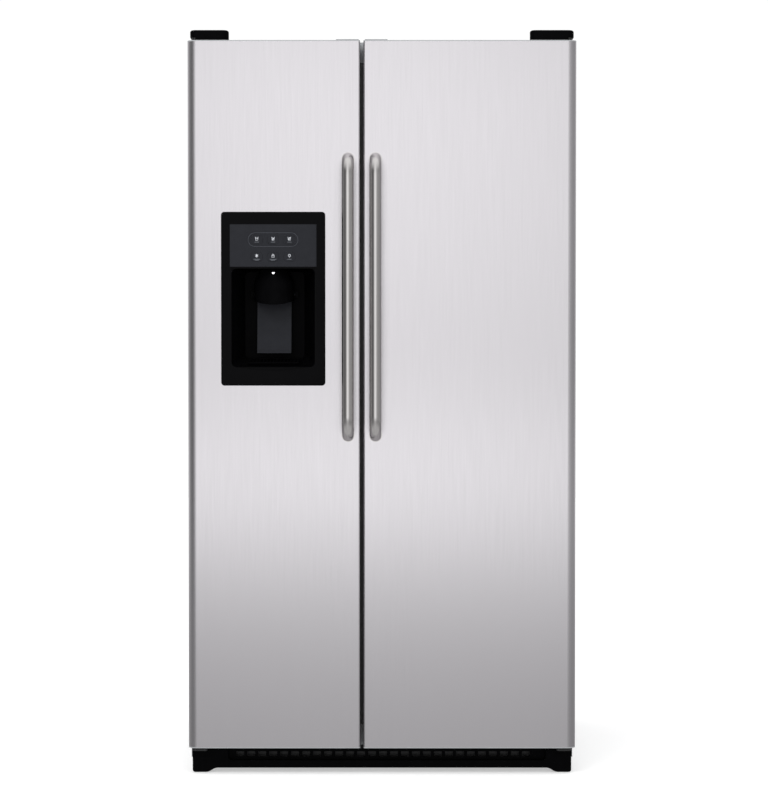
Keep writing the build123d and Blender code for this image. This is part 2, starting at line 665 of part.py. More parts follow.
def gasket(span, hinge):
    """A magnetic seal: a base strip with a narrower bulb on it, running round the door's back."""
    left = GASKET_HINGE_INSET if hinge < 0 else GASKET_FREE_INSET
    right = GASKET_FREE_INSET if hinge < 0 else GASKET_HINGE_INSET
    x0, x1 = span[0] + left, span[1] - right
    z0, z1 = DOOR_BOTTOM + GASKET_END_INSET, DOOR_TOP - GASKET_END_INSET

    def ring(inset, width, y0, y1):
        outer = block(x0 + inset, x1 - inset, y0, y1, z0 + inset, z1 - inset)
        far = inset + width
        return outer - block(x0 + far, x1 - far, y0 - 1, y1 + 1, z0 + far, z1 - far)

    base = ring(0, GASKET_WIDTH, DOOR_BACK, DOOR_BACK + 3)
    waist = ring(4, GASKET_WIDTH - 8, DOOR_BACK + 3, DOOR_BACK + 5)
    bulb = ring(1.5, GASKET_WIDTH - 3, DOOR_BACK + 5, CASE_FRONT - 0.5)
    bulb = fillet(bulb.faces().sort_by(Axis.Y)[-1].edges(), 1.5)
    return base + waist + bulb


def handle(x):
    """A bent tube whose ends turn back to the door, each in a thin collar."""
    centre_y = FACE - HANDLE_REACH + HANDLE_RADIUS
    low, high = HANDLE_BOTTOM + HANDLE_RADIUS, HANDLE_TOP - HANDLE_RADIUS
    corners = [(x, FACE, low), (x, centre_y, low), (x, centre_y, high), (x, FACE, high)]
    path = FilletPolyline(*corners, radius=HANDLE_BEND)
    tube = sweep(Plane(path @ 0, z_dir=path % 0) * Circle(HANDLE_RADIUS), path=path)
    for z in (low, high):
        tube += rod_y(x, FACE - 2, FACE, z, HANDLE_RADIUS + 1.5)
    return tube


def door_bin(x0, x1, z0, height):
    """A clear bin between the liner's borders, with a rolled front rim."""
    shape = tub(x0, x1, DOOR_BACK + 0.5, BIN_BACK, z0, z0 + height, BIN_WALL, 14)
    rim = block(x0 + 14, x1 - 14, BIN_BACK - BIN_WALL, BIN_BACK + 3, z0 + height - 10, z0 + height)
    rim = fillet(rim.edges().filter_by(Axis.X), 1.2)
    return shape + rim


def door_bins(span, hinge, levels):
    x0, x1, _, _ = door_frame(span, hinge)
    left, right = x0 + DIKE_WIDTH + 0.5, x1 - DIKE_WIDTH - 0.5
    return [door_bin(left, right, z, height) for z, height in levels]


# ================================================================ dairy compartment
DAIRY_Z = (1452, 1600)
DAIRY_BACK = BIN_BACK - 8
DAIRY_PIVOT = (DAIRY_BACK - 6, DAIRY_Z[1] - 9)
DAIRY_BAR = 3


def dairy_box():
    """A hooded shelf at the fresh food door's top, open towards the compartment."""
    x0, x1, _, _ = door_frame(FRESH_DOOR, 1)
    left, right = x0 + DIKE_WIDTH + 0.5, x1 - DIKE_WIDTH - 0.5
    outer = block(left, right, DOOR_BACK + 0.5, DAIRY_BACK, *DAIRY_Z)
    outer = fillet(outer.edges().filter_by(Axis.X).sort_by(Axis.Y)[-2:], 10)
    inner = block(left + 3, right - 3, DOOR_BACK + 3, DAIRY_BACK + 1, DAIRY_Z[0] + 3, DAIRY_Z[1] - 3)
    sill = block(left + 1, right - 1, DAIRY_BACK - 12, DAIRY_BACK - 9, DAIRY_Z[0] + 2, DAIRY_Z[0] + 20)
    return outer - inner + sill - rod_x(left - 1, right + 1, *DAIRY_PIVOT, DAIRY_BAR + TURNING_GAP)


def dairy_lid():
    """A clear flap inside the hood's mouth, hung on a bar at its upper edge."""
    x0, x1, _, _ = door_frame(FRESH_DOOR, 1)
    left, right = x0 + DIKE_WIDTH + 4, x1 - DIKE_WIDTH - 4
    y, z = DAIRY_PIVOT
    bar = rod_x(left - 2.5, right + 2.5, y, z, DAIRY_BAR)
    flap = block(left, right, y - 1.5, y + 1.5, DAIRY_Z[0] + 17, z)
    lip = block(left + 90, right - 90, y + 1, y + 9, DAIRY_Z[0] + 17, DAIRY_Z[0] + 21)
    return bar + flap + lip


# ================================================================ dispenser
def well_solid(grow):
    """The dispenser recess as a solid, wider at its mouth than at its back, grown by its wall or by 0."""

    def section(half, z0, z1, y, radius):
        outline = RectangleRounded(2 * (half + grow), z1 - z0 + 2 * grow, radius + grow)
        return Plane.XZ.offset(-y) * Pos(BEZEL_MIDDLE, (z0 + z1) / 2) * outline

    front = section(WELL_HALF, *WELL_Z, FACE, WELL_ROUND)
    back = section(WELL_BACK_HALF, *WELL_BACK_Z, WELL_BACK + grow, WELL_ROUND)
    return loft([front, back])


def duct_path():
    """The slanted way that ice takes from the top of the housing down to the recess."""
    return Line((BEZEL_MIDDLE, DOOR_BACK + 30, BULGE_Z[1] + 15), (BEZEL_MIDDLE, FACE + 37, CHUTE_Z[1] - 5))


def duct(inset):
    path = duct_path()
    start = Plane(path @ 0, x_dir=(1, 0, 0), z_dir=path % 0)
    return extrude(start * Ellipse(DUCT_HALF[0] - inset, DUCT_HALF[1] - inset), path.length)


def duct_slot():
    """The duct's way through the foam, with flat sides."""
    path = duct_path()
    start = Plane(path @ 0, x_dir=(1, 0, 0), z_dir=path % 0)
    return extrude(start * Rectangle(2 * DUCT_HALF[0], 2 * DUCT_HALF[1]), path.length)


def dispenser_well(duct_hole):
    """The recess's moulded wall, with two lugs on its back that carry the paddle's bar."""
    y, z = PADDLE_PIVOT
    shell = well_solid(LINER) - well_solid(0)
    shell -= block(-WIDTH, WIDTH, FACE - 5, FACE, 0, CASE_TOP)
    for side in (-1, 1):
        x = BEZEL_MIDDLE + side * (PADDLE_HALF + 12.5)
        shell += rounded(block(x - 4, x + 4, y - 6, WELL_BACK + 1, z - 7, z + 7), Axis.Z, 1)
    shell -= rod_x(BEZEL_MIDDLE - 60, BEZEL_MIDDLE + 60, y, z, PADDLE_BAR + TURNING_GAP)
    return shell - duct_hole


def dispenser_frame():
    """The glossy surround: a crowned plate with the recess's mouth and a pocket for the controls."""
    x0, x1 = BEZEL_X
    plate = rounded(block(x0, x1, BEZEL_FRONT, FACE, *BEZEL_Z), Axis.Y, BEZEL_ROUND)
    plate = fillet(plate.faces().sort_by(Axis.Y)[0].edges(), 3.5)
    low, high = WELL_Z
    left, right = BEZEL_MIDDLE - WELL_HALF, BEZEL_MIDDLE + WELL_HALF
    radius = WELL_ROUND
    sag = 8
    mouth = (
        Line((left, low + radius), (left, high))
        + Line((left, high), (right, high))
        + Line((right, high), (right, low + radius))
        + TangentArc((right, low + radius), (right - radius, low + 1), tangent=(0, -1))
        + ThreePointArc((right - radius, low + 1), (BEZEL_MIDDLE, low - sag), (left + radius, low + 1))
        + Line((left + radius, low + 1), (left, low + radius))
    )
    plate -= prism_xz(make_face(mouth), BEZEL_FRONT - 1, FACE - MOUTH_LEDGE)
    through = RectangleRounded(2 * WELL_HALF, high - low, radius)
    plate -= prism_xz(Pos(BEZEL_MIDDLE, (low + high) / 2) * through, BEZEL_FRONT - 1, FACE + 1)
    pocket = block(
        BEZEL_MIDDLE - PANEL_HALF,
        BEZEL_MIDDLE + PANEL_HALF,
        BEZEL_FRONT - 1,
        BEZEL_FRONT + PANEL_POCKET,
        *PANEL_Z,
    )
    return plate - pocket


def pad_centres():
    """Each touch pad's name with the x and z of its centre."""
    for row, z in enumerate(PAD_ROWS):
        for column, name in enumerate(PAD_NAMES[row]):
            yield name, BEZEL_MIDDLE + (column - 1) * PAD_PITCH, z


def pad_prism(x, z, grow, y0, y1):
    outline = RectangleRounded(PAD_SIZE[0] + 2 * grow, PAD_SIZE[1] + 2 * grow, 9 + grow)
    return prism_xz(Pos(x, z) * outline, y0, y1)


def control_panel():
    y0 = BEZEL_FRONT + 0.4
    gap = 0.2
    panel = block(
        BEZEL_MIDDLE - PANEL_HALF + gap,
        BEZEL_MIDDLE + PANEL_HALF - gap,
        y0,
        y0 + PANEL_THICKNESS,
        PANEL_Z[0] + gap,
        PANEL_Z[1] - gap,
    )
    for _, x, z in pad_centres():
        panel -= pad_prism(x, z, PAD_PLAY, y0 - 1, y0 + PANEL_THICKNESS + 1)
    return panel


def touch_pad(x, z):
    """A key that shows through the panel. It travels 0.8 mm towards the pocket's floor."""
    front = BEZEL_FRONT + 0.1
    pad = pad_prism(x, z, 0, front, BEZEL_FRONT + 3)
    return fillet(pad.faces().sort_by(Axis.Y)[0].edges(), 0.4)


def dispenser_chute():
    """A bell-shaped funnel below the duct, cut away behind, with a bowed lower edge."""
    y = WELL_BACK - 30
    depth = 36
    low, high = CHUTE_Z
    shoulder = high - 26

    def bell(inset):
        neck = Pos(BEZEL_MIDDLE, y, high) * Ellipse(35 - inset, 30 - inset)
        wide = Pos(BEZEL_MIDDLE, y, shoulder) * Ellipse(CHUTE_HALF - inset, depth - inset)
        skirt = Pos(BEZEL_MIDDLE, y, low - 5) * Ellipse(CHUTE_HALF - inset, depth - inset)
        return loft([neck, wide]) + extrude(skirt, shoulder - low + 5)

    wall = 2.5
    shape = bell(0) - bell(wall)
    shape -= block(BEZEL_MIDDLE - 80, BEZEL_MIDDLE + 80, WELL_BACK - 20, WELL_BACK + 50, low - 10, high + 1)
    bow = 118
    shape &= rod_y(BEZEL_MIDDLE, y - 90, y + 90, low + bow, bow)
    tube = duct(0)
    tube -= block(-WIDTH, WIDTH, FACE - 50, CASE_BACK, BULGE_Z[1], CASE_TOP)
    tube -= block(-WIDTH, WIDTH, FACE - 50, CASE_BACK, 0, high - 4)
    return shape + tube - duct(wall)


def dispenser_paddle():
    """The cradle that a glass pushes: a pad hung from a cross bar, leaning a little forwards."""
    y, z = PADDLE_PIVOT
    bar = rod_x(BEZEL_MIDDLE - PADDLE_HALF - 15, BEZEL_MIDDLE + PADDLE_HALF + 15, y, z, PADDLE_BAR)
    length = z - PADDLE_BOTTOM
    pad = block(-PADDLE_HALF, PADDLE_HALF, -2, 2, -length, 0)
    pad = fillet(pad.edges().filter_by(Axis.Y).sort_by(Axis.Z)[:2], 5)
    pad += block(-PADDLE_HALF, PADDLE_HALF, -7, 0, -length, -length + 4)
    pad = Pos(BEZEL_MIDDLE, y, z) * Rot(-7, 0, 0) * pad
    return bar + pad


# ================================================================ inside the freezer
SHELF_FRONT = -165
BUCKET_Z = (1372, 1530)
FREEZER_SHELVES = (1362, 1120, 860, 620)
BASKET_Z = (122, 350)
ARM_PIVOT = (-70, 1600)
ARM_RADIUS = 2


def wire_shelf(z):
    """A welded shelf: two cross rods at each end, side rods, and thinner wires from front to back."""
    x0, x1 = FREEZER_LEFT + 5, FREEZER_RIGHT - 5
    y0, y1 = SHELF_FRONT, 280
    shelf = rod_x(x0, x1, y0, z, 3.5) + rod_x(x0, x1, y1, z, 3.5)
    shelf += rod_x(x0, x1, (y0 + y1) / 2, z, 3)
    shelf += rod_x(x0, x1, y0, z - 16, 3)
    wires = 13
    pitch = (x1 - x0 - 8) / (wires - 1)
    for i in range(wires):
        thick = 3.2 if i in (0, wires - 1) else 2
        shelf += rod_y(x0 + 4 + i * pitch, y0 - 2, y1 + 2, z + 4, thick)
        if i % 3 == 0:
            shelf += rod_z(x0 + 4 + i * pitch, y0, z - 16, z + 3, 2)
    return shelf


def ice_maker():
    """The mould, its motor housing at the front and its shield, on the freezer's left wall."""
    x0, x1 = FREEZER_LEFT + 6, FREEZER_LEFT + 126
    mould = rounded(block(x0 + 10, x1 - 14, -40, 240, 1570, 1622), Axis.Y, 12)
    for i in range(7):
        y = -30 + i * 38
        pocket = Pos((x0 + x1) / 2 - 2, y + 16, 1624) * Rot(90, 0, 0) * Cylinder(34, 30)
        mould -= pocket
    housing = rounded(block(x0, x1, -95, -40, 1556, 1655), Axis.Y, 10)
    housing -= rod_x(x1 - 12, x1 + 1, *ARM_PIVOT, ARM_RADIUS + TURNING_GAP)
    rail = block(x0 - 4, x0 + 10, -40, 250, 1600, 1660)
    return mould + housing + rail


def ice_maker_arm():
    """The wire that feels how full the bucket is. It hangs from the motor housing's right side."""
    x = FREEZER_LEFT + 126
    y, z = ARM_PIVOT
    points = [(x - 11, y, z), (x + 19, y, z), (x + 19, y + 240, z - 24), (x + 19, y + 246, z - 54)]
    path = FilletPolyline(*points, radius=9)
    return sweep(Plane(path @ 0, z_dir=path % 0) * Circle(ARM_RADIUS), path=path)


def ice_bucket():
    """A deep bin with a thicker grip along its front and an outlet for the door's duct."""
    x0, x1 = FREEZER_LEFT + 12, FREEZER_RIGHT - 12
    y0, y1 = -150, 262
    bucket = tub(x0, x1, y0, y1, *BUCKET_Z, 3, 16)
    grip = block(x0 + 60, x1 - 60, y0 - 10, y0 + 1, BUCKET_Z[1] - 36, BUCKET_Z[1] - 24)
    grip = fillet(grip.edges().filter_by(Axis.X).sort_by(Axis.Y)[:2], 3)
    outlet = block(BEZEL_MIDDLE - 34, BEZEL_MIDDLE + 34, y0 + 12, y0 + 82, BUCKET_Z[0] - 1, BUCKET_Z[0] + 4)
    return bucket + grip - outlet


def freezer_basket():
    """A slide-out basket at the freezer's foot, with a grip and rows of shallow panels on its front."""
    x0, x1 = FREEZER_LEFT + 12, FREEZER_RIGHT - 12
    y0, y1 = -158, STEP_BACK - 15
    basket = tub(x0, x1, y0, y1, *BASKET_Z, 3, 18)
    panels = []
    for z in range(160, 330, 34):
        for x in range(int(x0) + 30, int(x1) - 50, 46):
            panels.append(block(x, x + 32, y0 - 1, y0 + 1.2, z, z + 16))
    rim = block(x0 + 40, x1 - 40, y0 - 8, y0 + 1, BASKET_Z[1] - 14, BASKET_Z[1])
    rim = fillet(rim.edges().filter_by(Axis.X).sort_by(Axis.Y)[:2], 3)
    return basket - panels + rim


# ================================================================ inside the fresh food side
FRESH_SHELVES = (1360, 1110, 860)
CRISPER_COVER_Z = 640
CRISPER_UPPER_Z = (404, 622)
CRISPER_LOWER_Z = (122, 366)
CRISPER_FRONT = -158
CRISPER_RIGHT = FRESH_RIGHT - 24
GLASS = 4


def shelf_frame(z):
    """A moulded rim that holds a glass pane, with a rear lip that stops things sliding off."""
    x0, x1 = FRESH_LEFT + 4, FRESH_RIGHT - 4
    frame = block(x0, x1, SHELF_FRONT, 345, z - 8, z + 8)
    frame = rounded(frame, Axis.Z, 9)
    frame = fillet(frame.faces().sort_by(Axis.Z)[-1].edges(), 2.5)
    frame -= block(x0 + 16, x1 - 16, SHELF_FRONT + 18, 330, z - 9, z + 9)
    frame -= block(x0 + 9, x1 - 9, SHELF_FRONT + 11, 337, z - 1, z - 1 + GLASS)
    return frame + rounded(block(x0 + 20, x1 - 20, 338, 343, z, z + 22), Axis.Y, 6)


def shelf_glass(z):
    x0, x1 = FRESH_LEFT + 4, FRESH_RIGHT - 4
    return block(x0 + 9, x1 - 9, SHELF_FRONT + 11, 337, z - 1, z - 1 + GLASS)


def crisper_frame():
    """The cover over the drawers, its glass ledge, a divider between them, and side runners."""
    x0, x1 = FRESH_LEFT + 3, FRESH_RIGHT - 3
    z = CRISPER_COVER_Z
    frame = rounded(block(x0, x1, SHELF_FRONT, 345, z - 12, z + 8), Axis.Z, 9)
    frame -= block(x0 + 16, x1 - 16, SHELF_FRONT + 24, 330, z - 13, z + 9)
    frame -= block(x0 + 9, x1 - 9, SHELF_FRONT + 17, 337, z - 1, z - 1 + GLASS)
    divider = rounded(block(x0, x1, SHELF_FRONT + 4, 340, 384, 396), Axis.Z, 9)
    divider -= block(x0 + 30, x1 - 30, SHELF_FRONT + 40, 300, 380, 400)
    frame += divider
    for left, right in ((x0, x0 + 5), (CRISPER_RIGHT + 2, x1)):
        frame += block(left, right, SHELF_FRONT + 4, 332, 390, z - 6)
    return frame


def crisper_glass():
    x0, x1 = FRESH_LEFT + 3, FRESH_RIGHT - 3
    z = CRISPER_COVER_Z
    return block(x0 + 9, x1 - 9, SHELF_FRONT + 17, 337, z - 1, z - 1 + GLASS)


def crisper_drawer(x_gap, y1, z0, z1):
    """A clear drawer with a rolled finger grip. It stops short of the hinge side, where the open door's
    edge stands in its way."""
    x0, x1 = FRESH_LEFT + x_gap, CRISPER_RIGHT
    drawer = tub(x0, x1, CRISPER_FRONT, y1, z0, z1, 3, 14)
    grip = block(x0 + 90, x1 - 90, CRISPER_FRONT - 10, CRISPER_FRONT + 1, z1 - 24, z1 - 12)
    grip = fillet(grip.edges().filter_by(Axis.X).sort_by(Axis.Y)[:2], 3)
    return drawer + grip


CONTROL_X = (90, 300)
CONTROL_Y = (-140, 60)
CONTROL_Z = (1606, 1670)
DIAL_X = {"dial_freezer": 150, "dial_fresh_food": 240}
DIAL_Z = 1636


def control_box():
    """The temperature control housing under the fresh food compartment's ceiling."""
    box = block(*CONTROL_X, *CONTROL_Y, *CONTROL_Z)
    box = fillet(box.edges().filter_by(Axis.X).sort_by(Axis.Z)[:2], 9)
    for x in DIAL_X.values():
        box -= rod_y(x, CONTROL_Y[0] - 1, CONTROL_Y[0] + 4, DIAL_Z, 22)
        box += rod_y(x, CONTROL_Y[0] - 8, CONTROL_Y[0] + 5, DIAL_Z, SHAFT_RADIUS)
    return box


def dial(x):
    """A knob with a pointer ridge, on a stub shaft."""
    y0, y1 = CONTROL_Y[0] - 13, CONTROL_Y[0] + 3
    knob = rod_y(x, y0 + 6, y1, DIAL_Z, 19)
    knob = fillet(knob.edges().filter_by(GeomType.CIRCLE).sort_by(Axis.Y)[0], 2)
    ridge = block(x - 3.5, x + 3.5, y0, y0 + 8, DIAL_Z - 17, DIAL_Z + 17)
    knob += rounded(ridge, Axis.Y, 3)
    return knob - rod_y(x, CONTROL_Y[0] - 8.4, y1 + 1, DIAL_Z, SHAFT_RADIUS + TURNING_GAP)


# ================================================================ the whole refrigerator
def build():
    freezer_outer = cavity(FREEZER_LEFT, FREEZER_RIGHT, LINER)
    freezer_inner = cavity(FREEZER_LEFT, FREEZER_RIGHT, 0)
    fresh_outer = cavity(FRESH_LEFT, FRESH_RIGHT, LINER)
    fresh_inner = cavity(FRESH_LEFT, FRESH_RIGHT, 0)
    well_outer = well_solid(LINER)
    duct_solid = duct(0)
    openings = (well_outer, duct_solid)
    left_leg = mirror_x(levelling_leg())
    hinges = (top_hinge(), bottom_hinge())

    nodes = {
        "cabinet_shell": cabinet_shell(),
        "rear_panels": group([back_panel(), machine_room_cover()]),
        "mullion_bar": mullion_bar(freezer_outer, fresh_outer),
        "cabinet_insulation": cabinet_insulation(),
        "freezer_liner": compartment_liner(freezer_outer, freezer_inner),
        "fresh_food_liner": compartment_liner(fresh_outer, fresh_inner),
        "base_frame": base_frame(),
        "base_grille": base_grille(),
        "cord_gland": cord_gland(),
        "compressor": compressor(),
        "condenser_coil": condenser_coil(),
        "condenser_fan_motor": condenser_fan_motor(),
        "condenser_fan": condenser_fan(),
        "evaporator_coil": evaporator_coil(),
        "evaporator_cover": evaporator_cover(freezer_inner),
        "door_hinges": group([*hinges, *(mirror_x(hinge) for hinge in hinges)]),
        "hinge_cover_left": mirror_x(hinge_cover(92)),
        "hinge_cover_right": hinge_cover(104),
        "levelling_leg_left": left_leg,
        "levelling_leg_right": levelling_leg(),
        "rear_rollers": group([roller(), mirror_x(roller())]),
        "ice_maker": ice_maker(),
        "ice_maker_arm": ice_maker_arm(),
        "ice_bucket": ice_bucket(),
        "freezer_shelves": group([wire_shelf(z) for z in FREEZER_SHELVES]),
        "freezer_basket": freezer_basket(),
        "fresh_shelf_frames": group([shelf_frame(z) for z in FRESH_SHELVES]),
        "shelf_glass": group([shelf_glass(z) for z in FRESH_SHELVES] + [crisper_glass()]),
        "crisper_frame": crisper_frame(),
        "crisper_upper": crisper_drawer(10, 325, *CRISPER_UPPER_Z),
        "crisper_lower": crisper_drawer(5, STEP_BACK - 15, *CRISPER_LOWER_Z),
        "control_box": control_box(),
        "freezer_door_skin": door_skin(FREEZER_DOOR, -1, openings),
        "freezer_door_core": door_core(FREEZER_DOOR, -1),
        "freezer_door_liner": door_liner(FREEZER_DOOR, -1, openings),
        "freezer_door_caps": door_caps(FREEZER_DOOR, -1),
        "freezer_door_gasket": gasket(FREEZER_DOOR, -1),
        "freezer_door_handle": handle(SPLIT_X - HANDLE_OFFSET),
        "dispenser_frame": dispenser_frame(),
        "dispenser_well": dispenser_well(duct_solid),
        "control_panel": control_panel(),
        "dispenser_chute": dispenser_chute(),
        "dispenser_paddle": dispenser_paddle(),
        "fresh_door_skin": door_skin(FRESH_DOOR, 1),
        "fresh_door_core": door_core(FRESH_DOOR, 1),
        "fresh_door_liner": door_liner(FRESH_DOOR, 1),
        "fresh_door_caps": door_caps(FRESH_DOOR, 1),
        "fresh_door_gasket": gasket(FRESH_DOOR, 1),
        "fresh_door_handle": handle(SPLIT_X + HANDLE_OFFSET),
    }
    freezer_bins = door_bins(FREEZER_DOOR, -1, [(152, 92), (410, 92), (670, 92), (1545, 84)])
    fresh_bins = door_bins(FRESH_DOOR, 1, [(152, 120), (450, 104), (790, 104), (1120, 104)])
    nodes["freezer_door_bins"] = group(freezer_bins)
    nodes["fresh_door_bins"] = group(fresh_bins + [dairy_box()])
    nodes["dairy_lid"] = dairy_lid()
    for name, x, z in pad_centres():
        nodes[f"pad_{name}"] = touch_pad(x, z)
    for name, x in DIAL_X.items():
        nodes[name] = dial(x)
    return nodes


os.makedirs("parts", exist_ok=True)
for node_name, node_shape in build().items():
    export_step(node_shape, f"parts/{node_name}.step")
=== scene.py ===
import json
import math

import bmesh
import bpy
from mathutils import Matrix, Vector


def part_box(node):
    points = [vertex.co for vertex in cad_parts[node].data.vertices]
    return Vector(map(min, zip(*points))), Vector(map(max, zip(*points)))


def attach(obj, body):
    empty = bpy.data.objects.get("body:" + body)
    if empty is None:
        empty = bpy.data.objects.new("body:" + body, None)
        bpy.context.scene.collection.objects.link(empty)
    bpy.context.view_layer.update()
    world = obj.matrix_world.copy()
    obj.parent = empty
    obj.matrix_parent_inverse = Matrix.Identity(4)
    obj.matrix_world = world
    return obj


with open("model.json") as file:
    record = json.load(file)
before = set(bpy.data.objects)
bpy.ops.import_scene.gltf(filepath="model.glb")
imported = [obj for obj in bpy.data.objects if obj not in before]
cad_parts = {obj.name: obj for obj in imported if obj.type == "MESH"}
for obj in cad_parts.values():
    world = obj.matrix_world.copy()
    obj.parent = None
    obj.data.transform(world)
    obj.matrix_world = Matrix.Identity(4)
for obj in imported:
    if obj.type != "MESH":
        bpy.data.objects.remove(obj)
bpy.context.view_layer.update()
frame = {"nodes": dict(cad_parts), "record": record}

# Metres, in the CAD model's frame: X to the right seen from the front, Y to the back, Z up.
MM = 0.001
NODES = frame["nodes"]


def srgb(r, g, b):
    """A colour given as 0 to 255 in sRGB, as linear values."""

    def one(v):
        v /= 255
        return v / 12.92 if v <= 0.04045 else ((v + 0.055) / 1.055) ** 2.4

    return (one(r), one(g), one(b))


# ---------------------------------------------------------------- materials
def link(tree, a, a_out, b, b_in):
    tree.links.new(a.outputs[a_out], b.inputs[b_in])


def noise(tree, coords, stretch, scale, detail=4.0, rough=0.55):
    """A noise texture in object coordinates, stretched along each axis."""
    mapping = tree.nodes.new("ShaderNodeMapping")
    mapping.inputs["Scale"].default_value = stretch
    texture = tree.nodes.new("ShaderNodeTexNoise")
    texture.inputs["Scale"].default_value = scale
    texture.inputs["Detail"].default_value = detail
    texture.inputs["Roughness"].default_value = rough
    link(tree, coords, "Object", mapping, "Vector")
    link(tree, mapping, "Vector", texture, "Vector")
    return texture


def ranged(tree, source, output, low, high, from_low=0.3, from_high=0.7):
    """A 0 to 1 pattern as a value between low and high."""
    node = tree.nodes.new("ShaderNodeMapRange")
    node.inputs["From Min"].default_value = from_low
    node.inputs["From Max"].default_value = from_high
    node.inputs["To Min"].default_value = low
    node.inputs["To Max"].default_value = high
    link(tree, source, output, node, "Value")
    return node


def surface(
    name,
    color,
    vary=0.05,
    stretch=(1, 1, 1),
    scale=30.0,
    rough=0.4,
    rough_vary=0.05,
    metal=0.0,
    grain=(1, 1, 1),
    grain_scale=900.0,
    grain_depth=0.00005,
    grain_strength=0.2,
    spec=None,
    coat=0.0,
    coat_rough=0.08,
    transmission=0.0,
    ior=1.5,
    emit=0.0,
    aniso=0.0,
    sheen=0.0,
):
    """A procedural surface: clouded colour, uneven roughness and a fine raised grain. With aniso the
    highlights spread sideways, as on steel that is brushed up and down."""
    material = bpy.data.materials.new(name)
    material.use_nodes = True
    tree = material.node_tree
    tree.nodes.clear()
    out = tree.nodes.new("ShaderNodeOutputMaterial")
    shader = tree.nodes.new("ShaderNodeBsdfPrincipled")
    link(tree, shader, "BSDF", out, "Surface")
    coords = tree.nodes.new("ShaderNodeTexCoord")
    cloud = noise(tree, coords, stretch, scale)
    mix = tree.nodes.new("ShaderNodeMix")
    mix.data_type = "RGBA"
    mix.inputs[6].default_value = (*[c * (1 - vary) for c in color], 1)
    mix.inputs[7].default_value = (*[min(1.0, c * (1 + vary)) for c in color], 1)
    clouding = ranged(tree, cloud, "Fac", 0.0, 1.0)
    tree.links.new(clouding.outputs["Result"], mix.inputs[0])
    tree.links.new(mix.outputs[2], shader.inputs["Base Color"])
    fine = noise(tree, coords, grain, grain_scale, 3.0)
    wear = ranged(tree, fine, "Fac", max(0.0, rough - rough_vary), min(1.0, rough + rough_vary))
    tree.links.new(wear.outputs["Result"], shader.inputs["Roughness"])
    bump = tree.nodes.new("ShaderNodeBump")
    bump.inputs["Strength"].default_value = grain_strength
    bump.inputs["Distance"].default_value = grain_depth
    link(tree, fine, "Fac", bump, "Height")
    link(tree, bump, "Normal", shader, "Normal")
    shader.inputs["Metallic"].default_value = metal
    shader.inputs["IOR"].default_value = ior
    if spec is not None:
        shader.inputs["Specular IOR Level"].default_value = spec
    shader.inputs["Coat Weight"].default_value = coat
    shader.inputs["Coat Roughness"].default_value = coat_rough
    shader.inputs["Transmission Weight"].default_value = transmission
    if aniso:
        shader.inputs["Anisotropic"].default_value = aniso
        along = tree.nodes.new("ShaderNodeTangent")
        along.direction_type = "RADIAL"
        along.axis = "Z"
        link(tree, along, "Tangent", shader, "Tangent")
    shader.inputs["Sheen Weight"].default_value = sheen
    if emit:
        shader.inputs["Emission Color"].default_value = (*color, 1)
        shader.inputs["Emission Strength"].default_value = emit
    return material


STEEL = srgb(229, 226, 230)
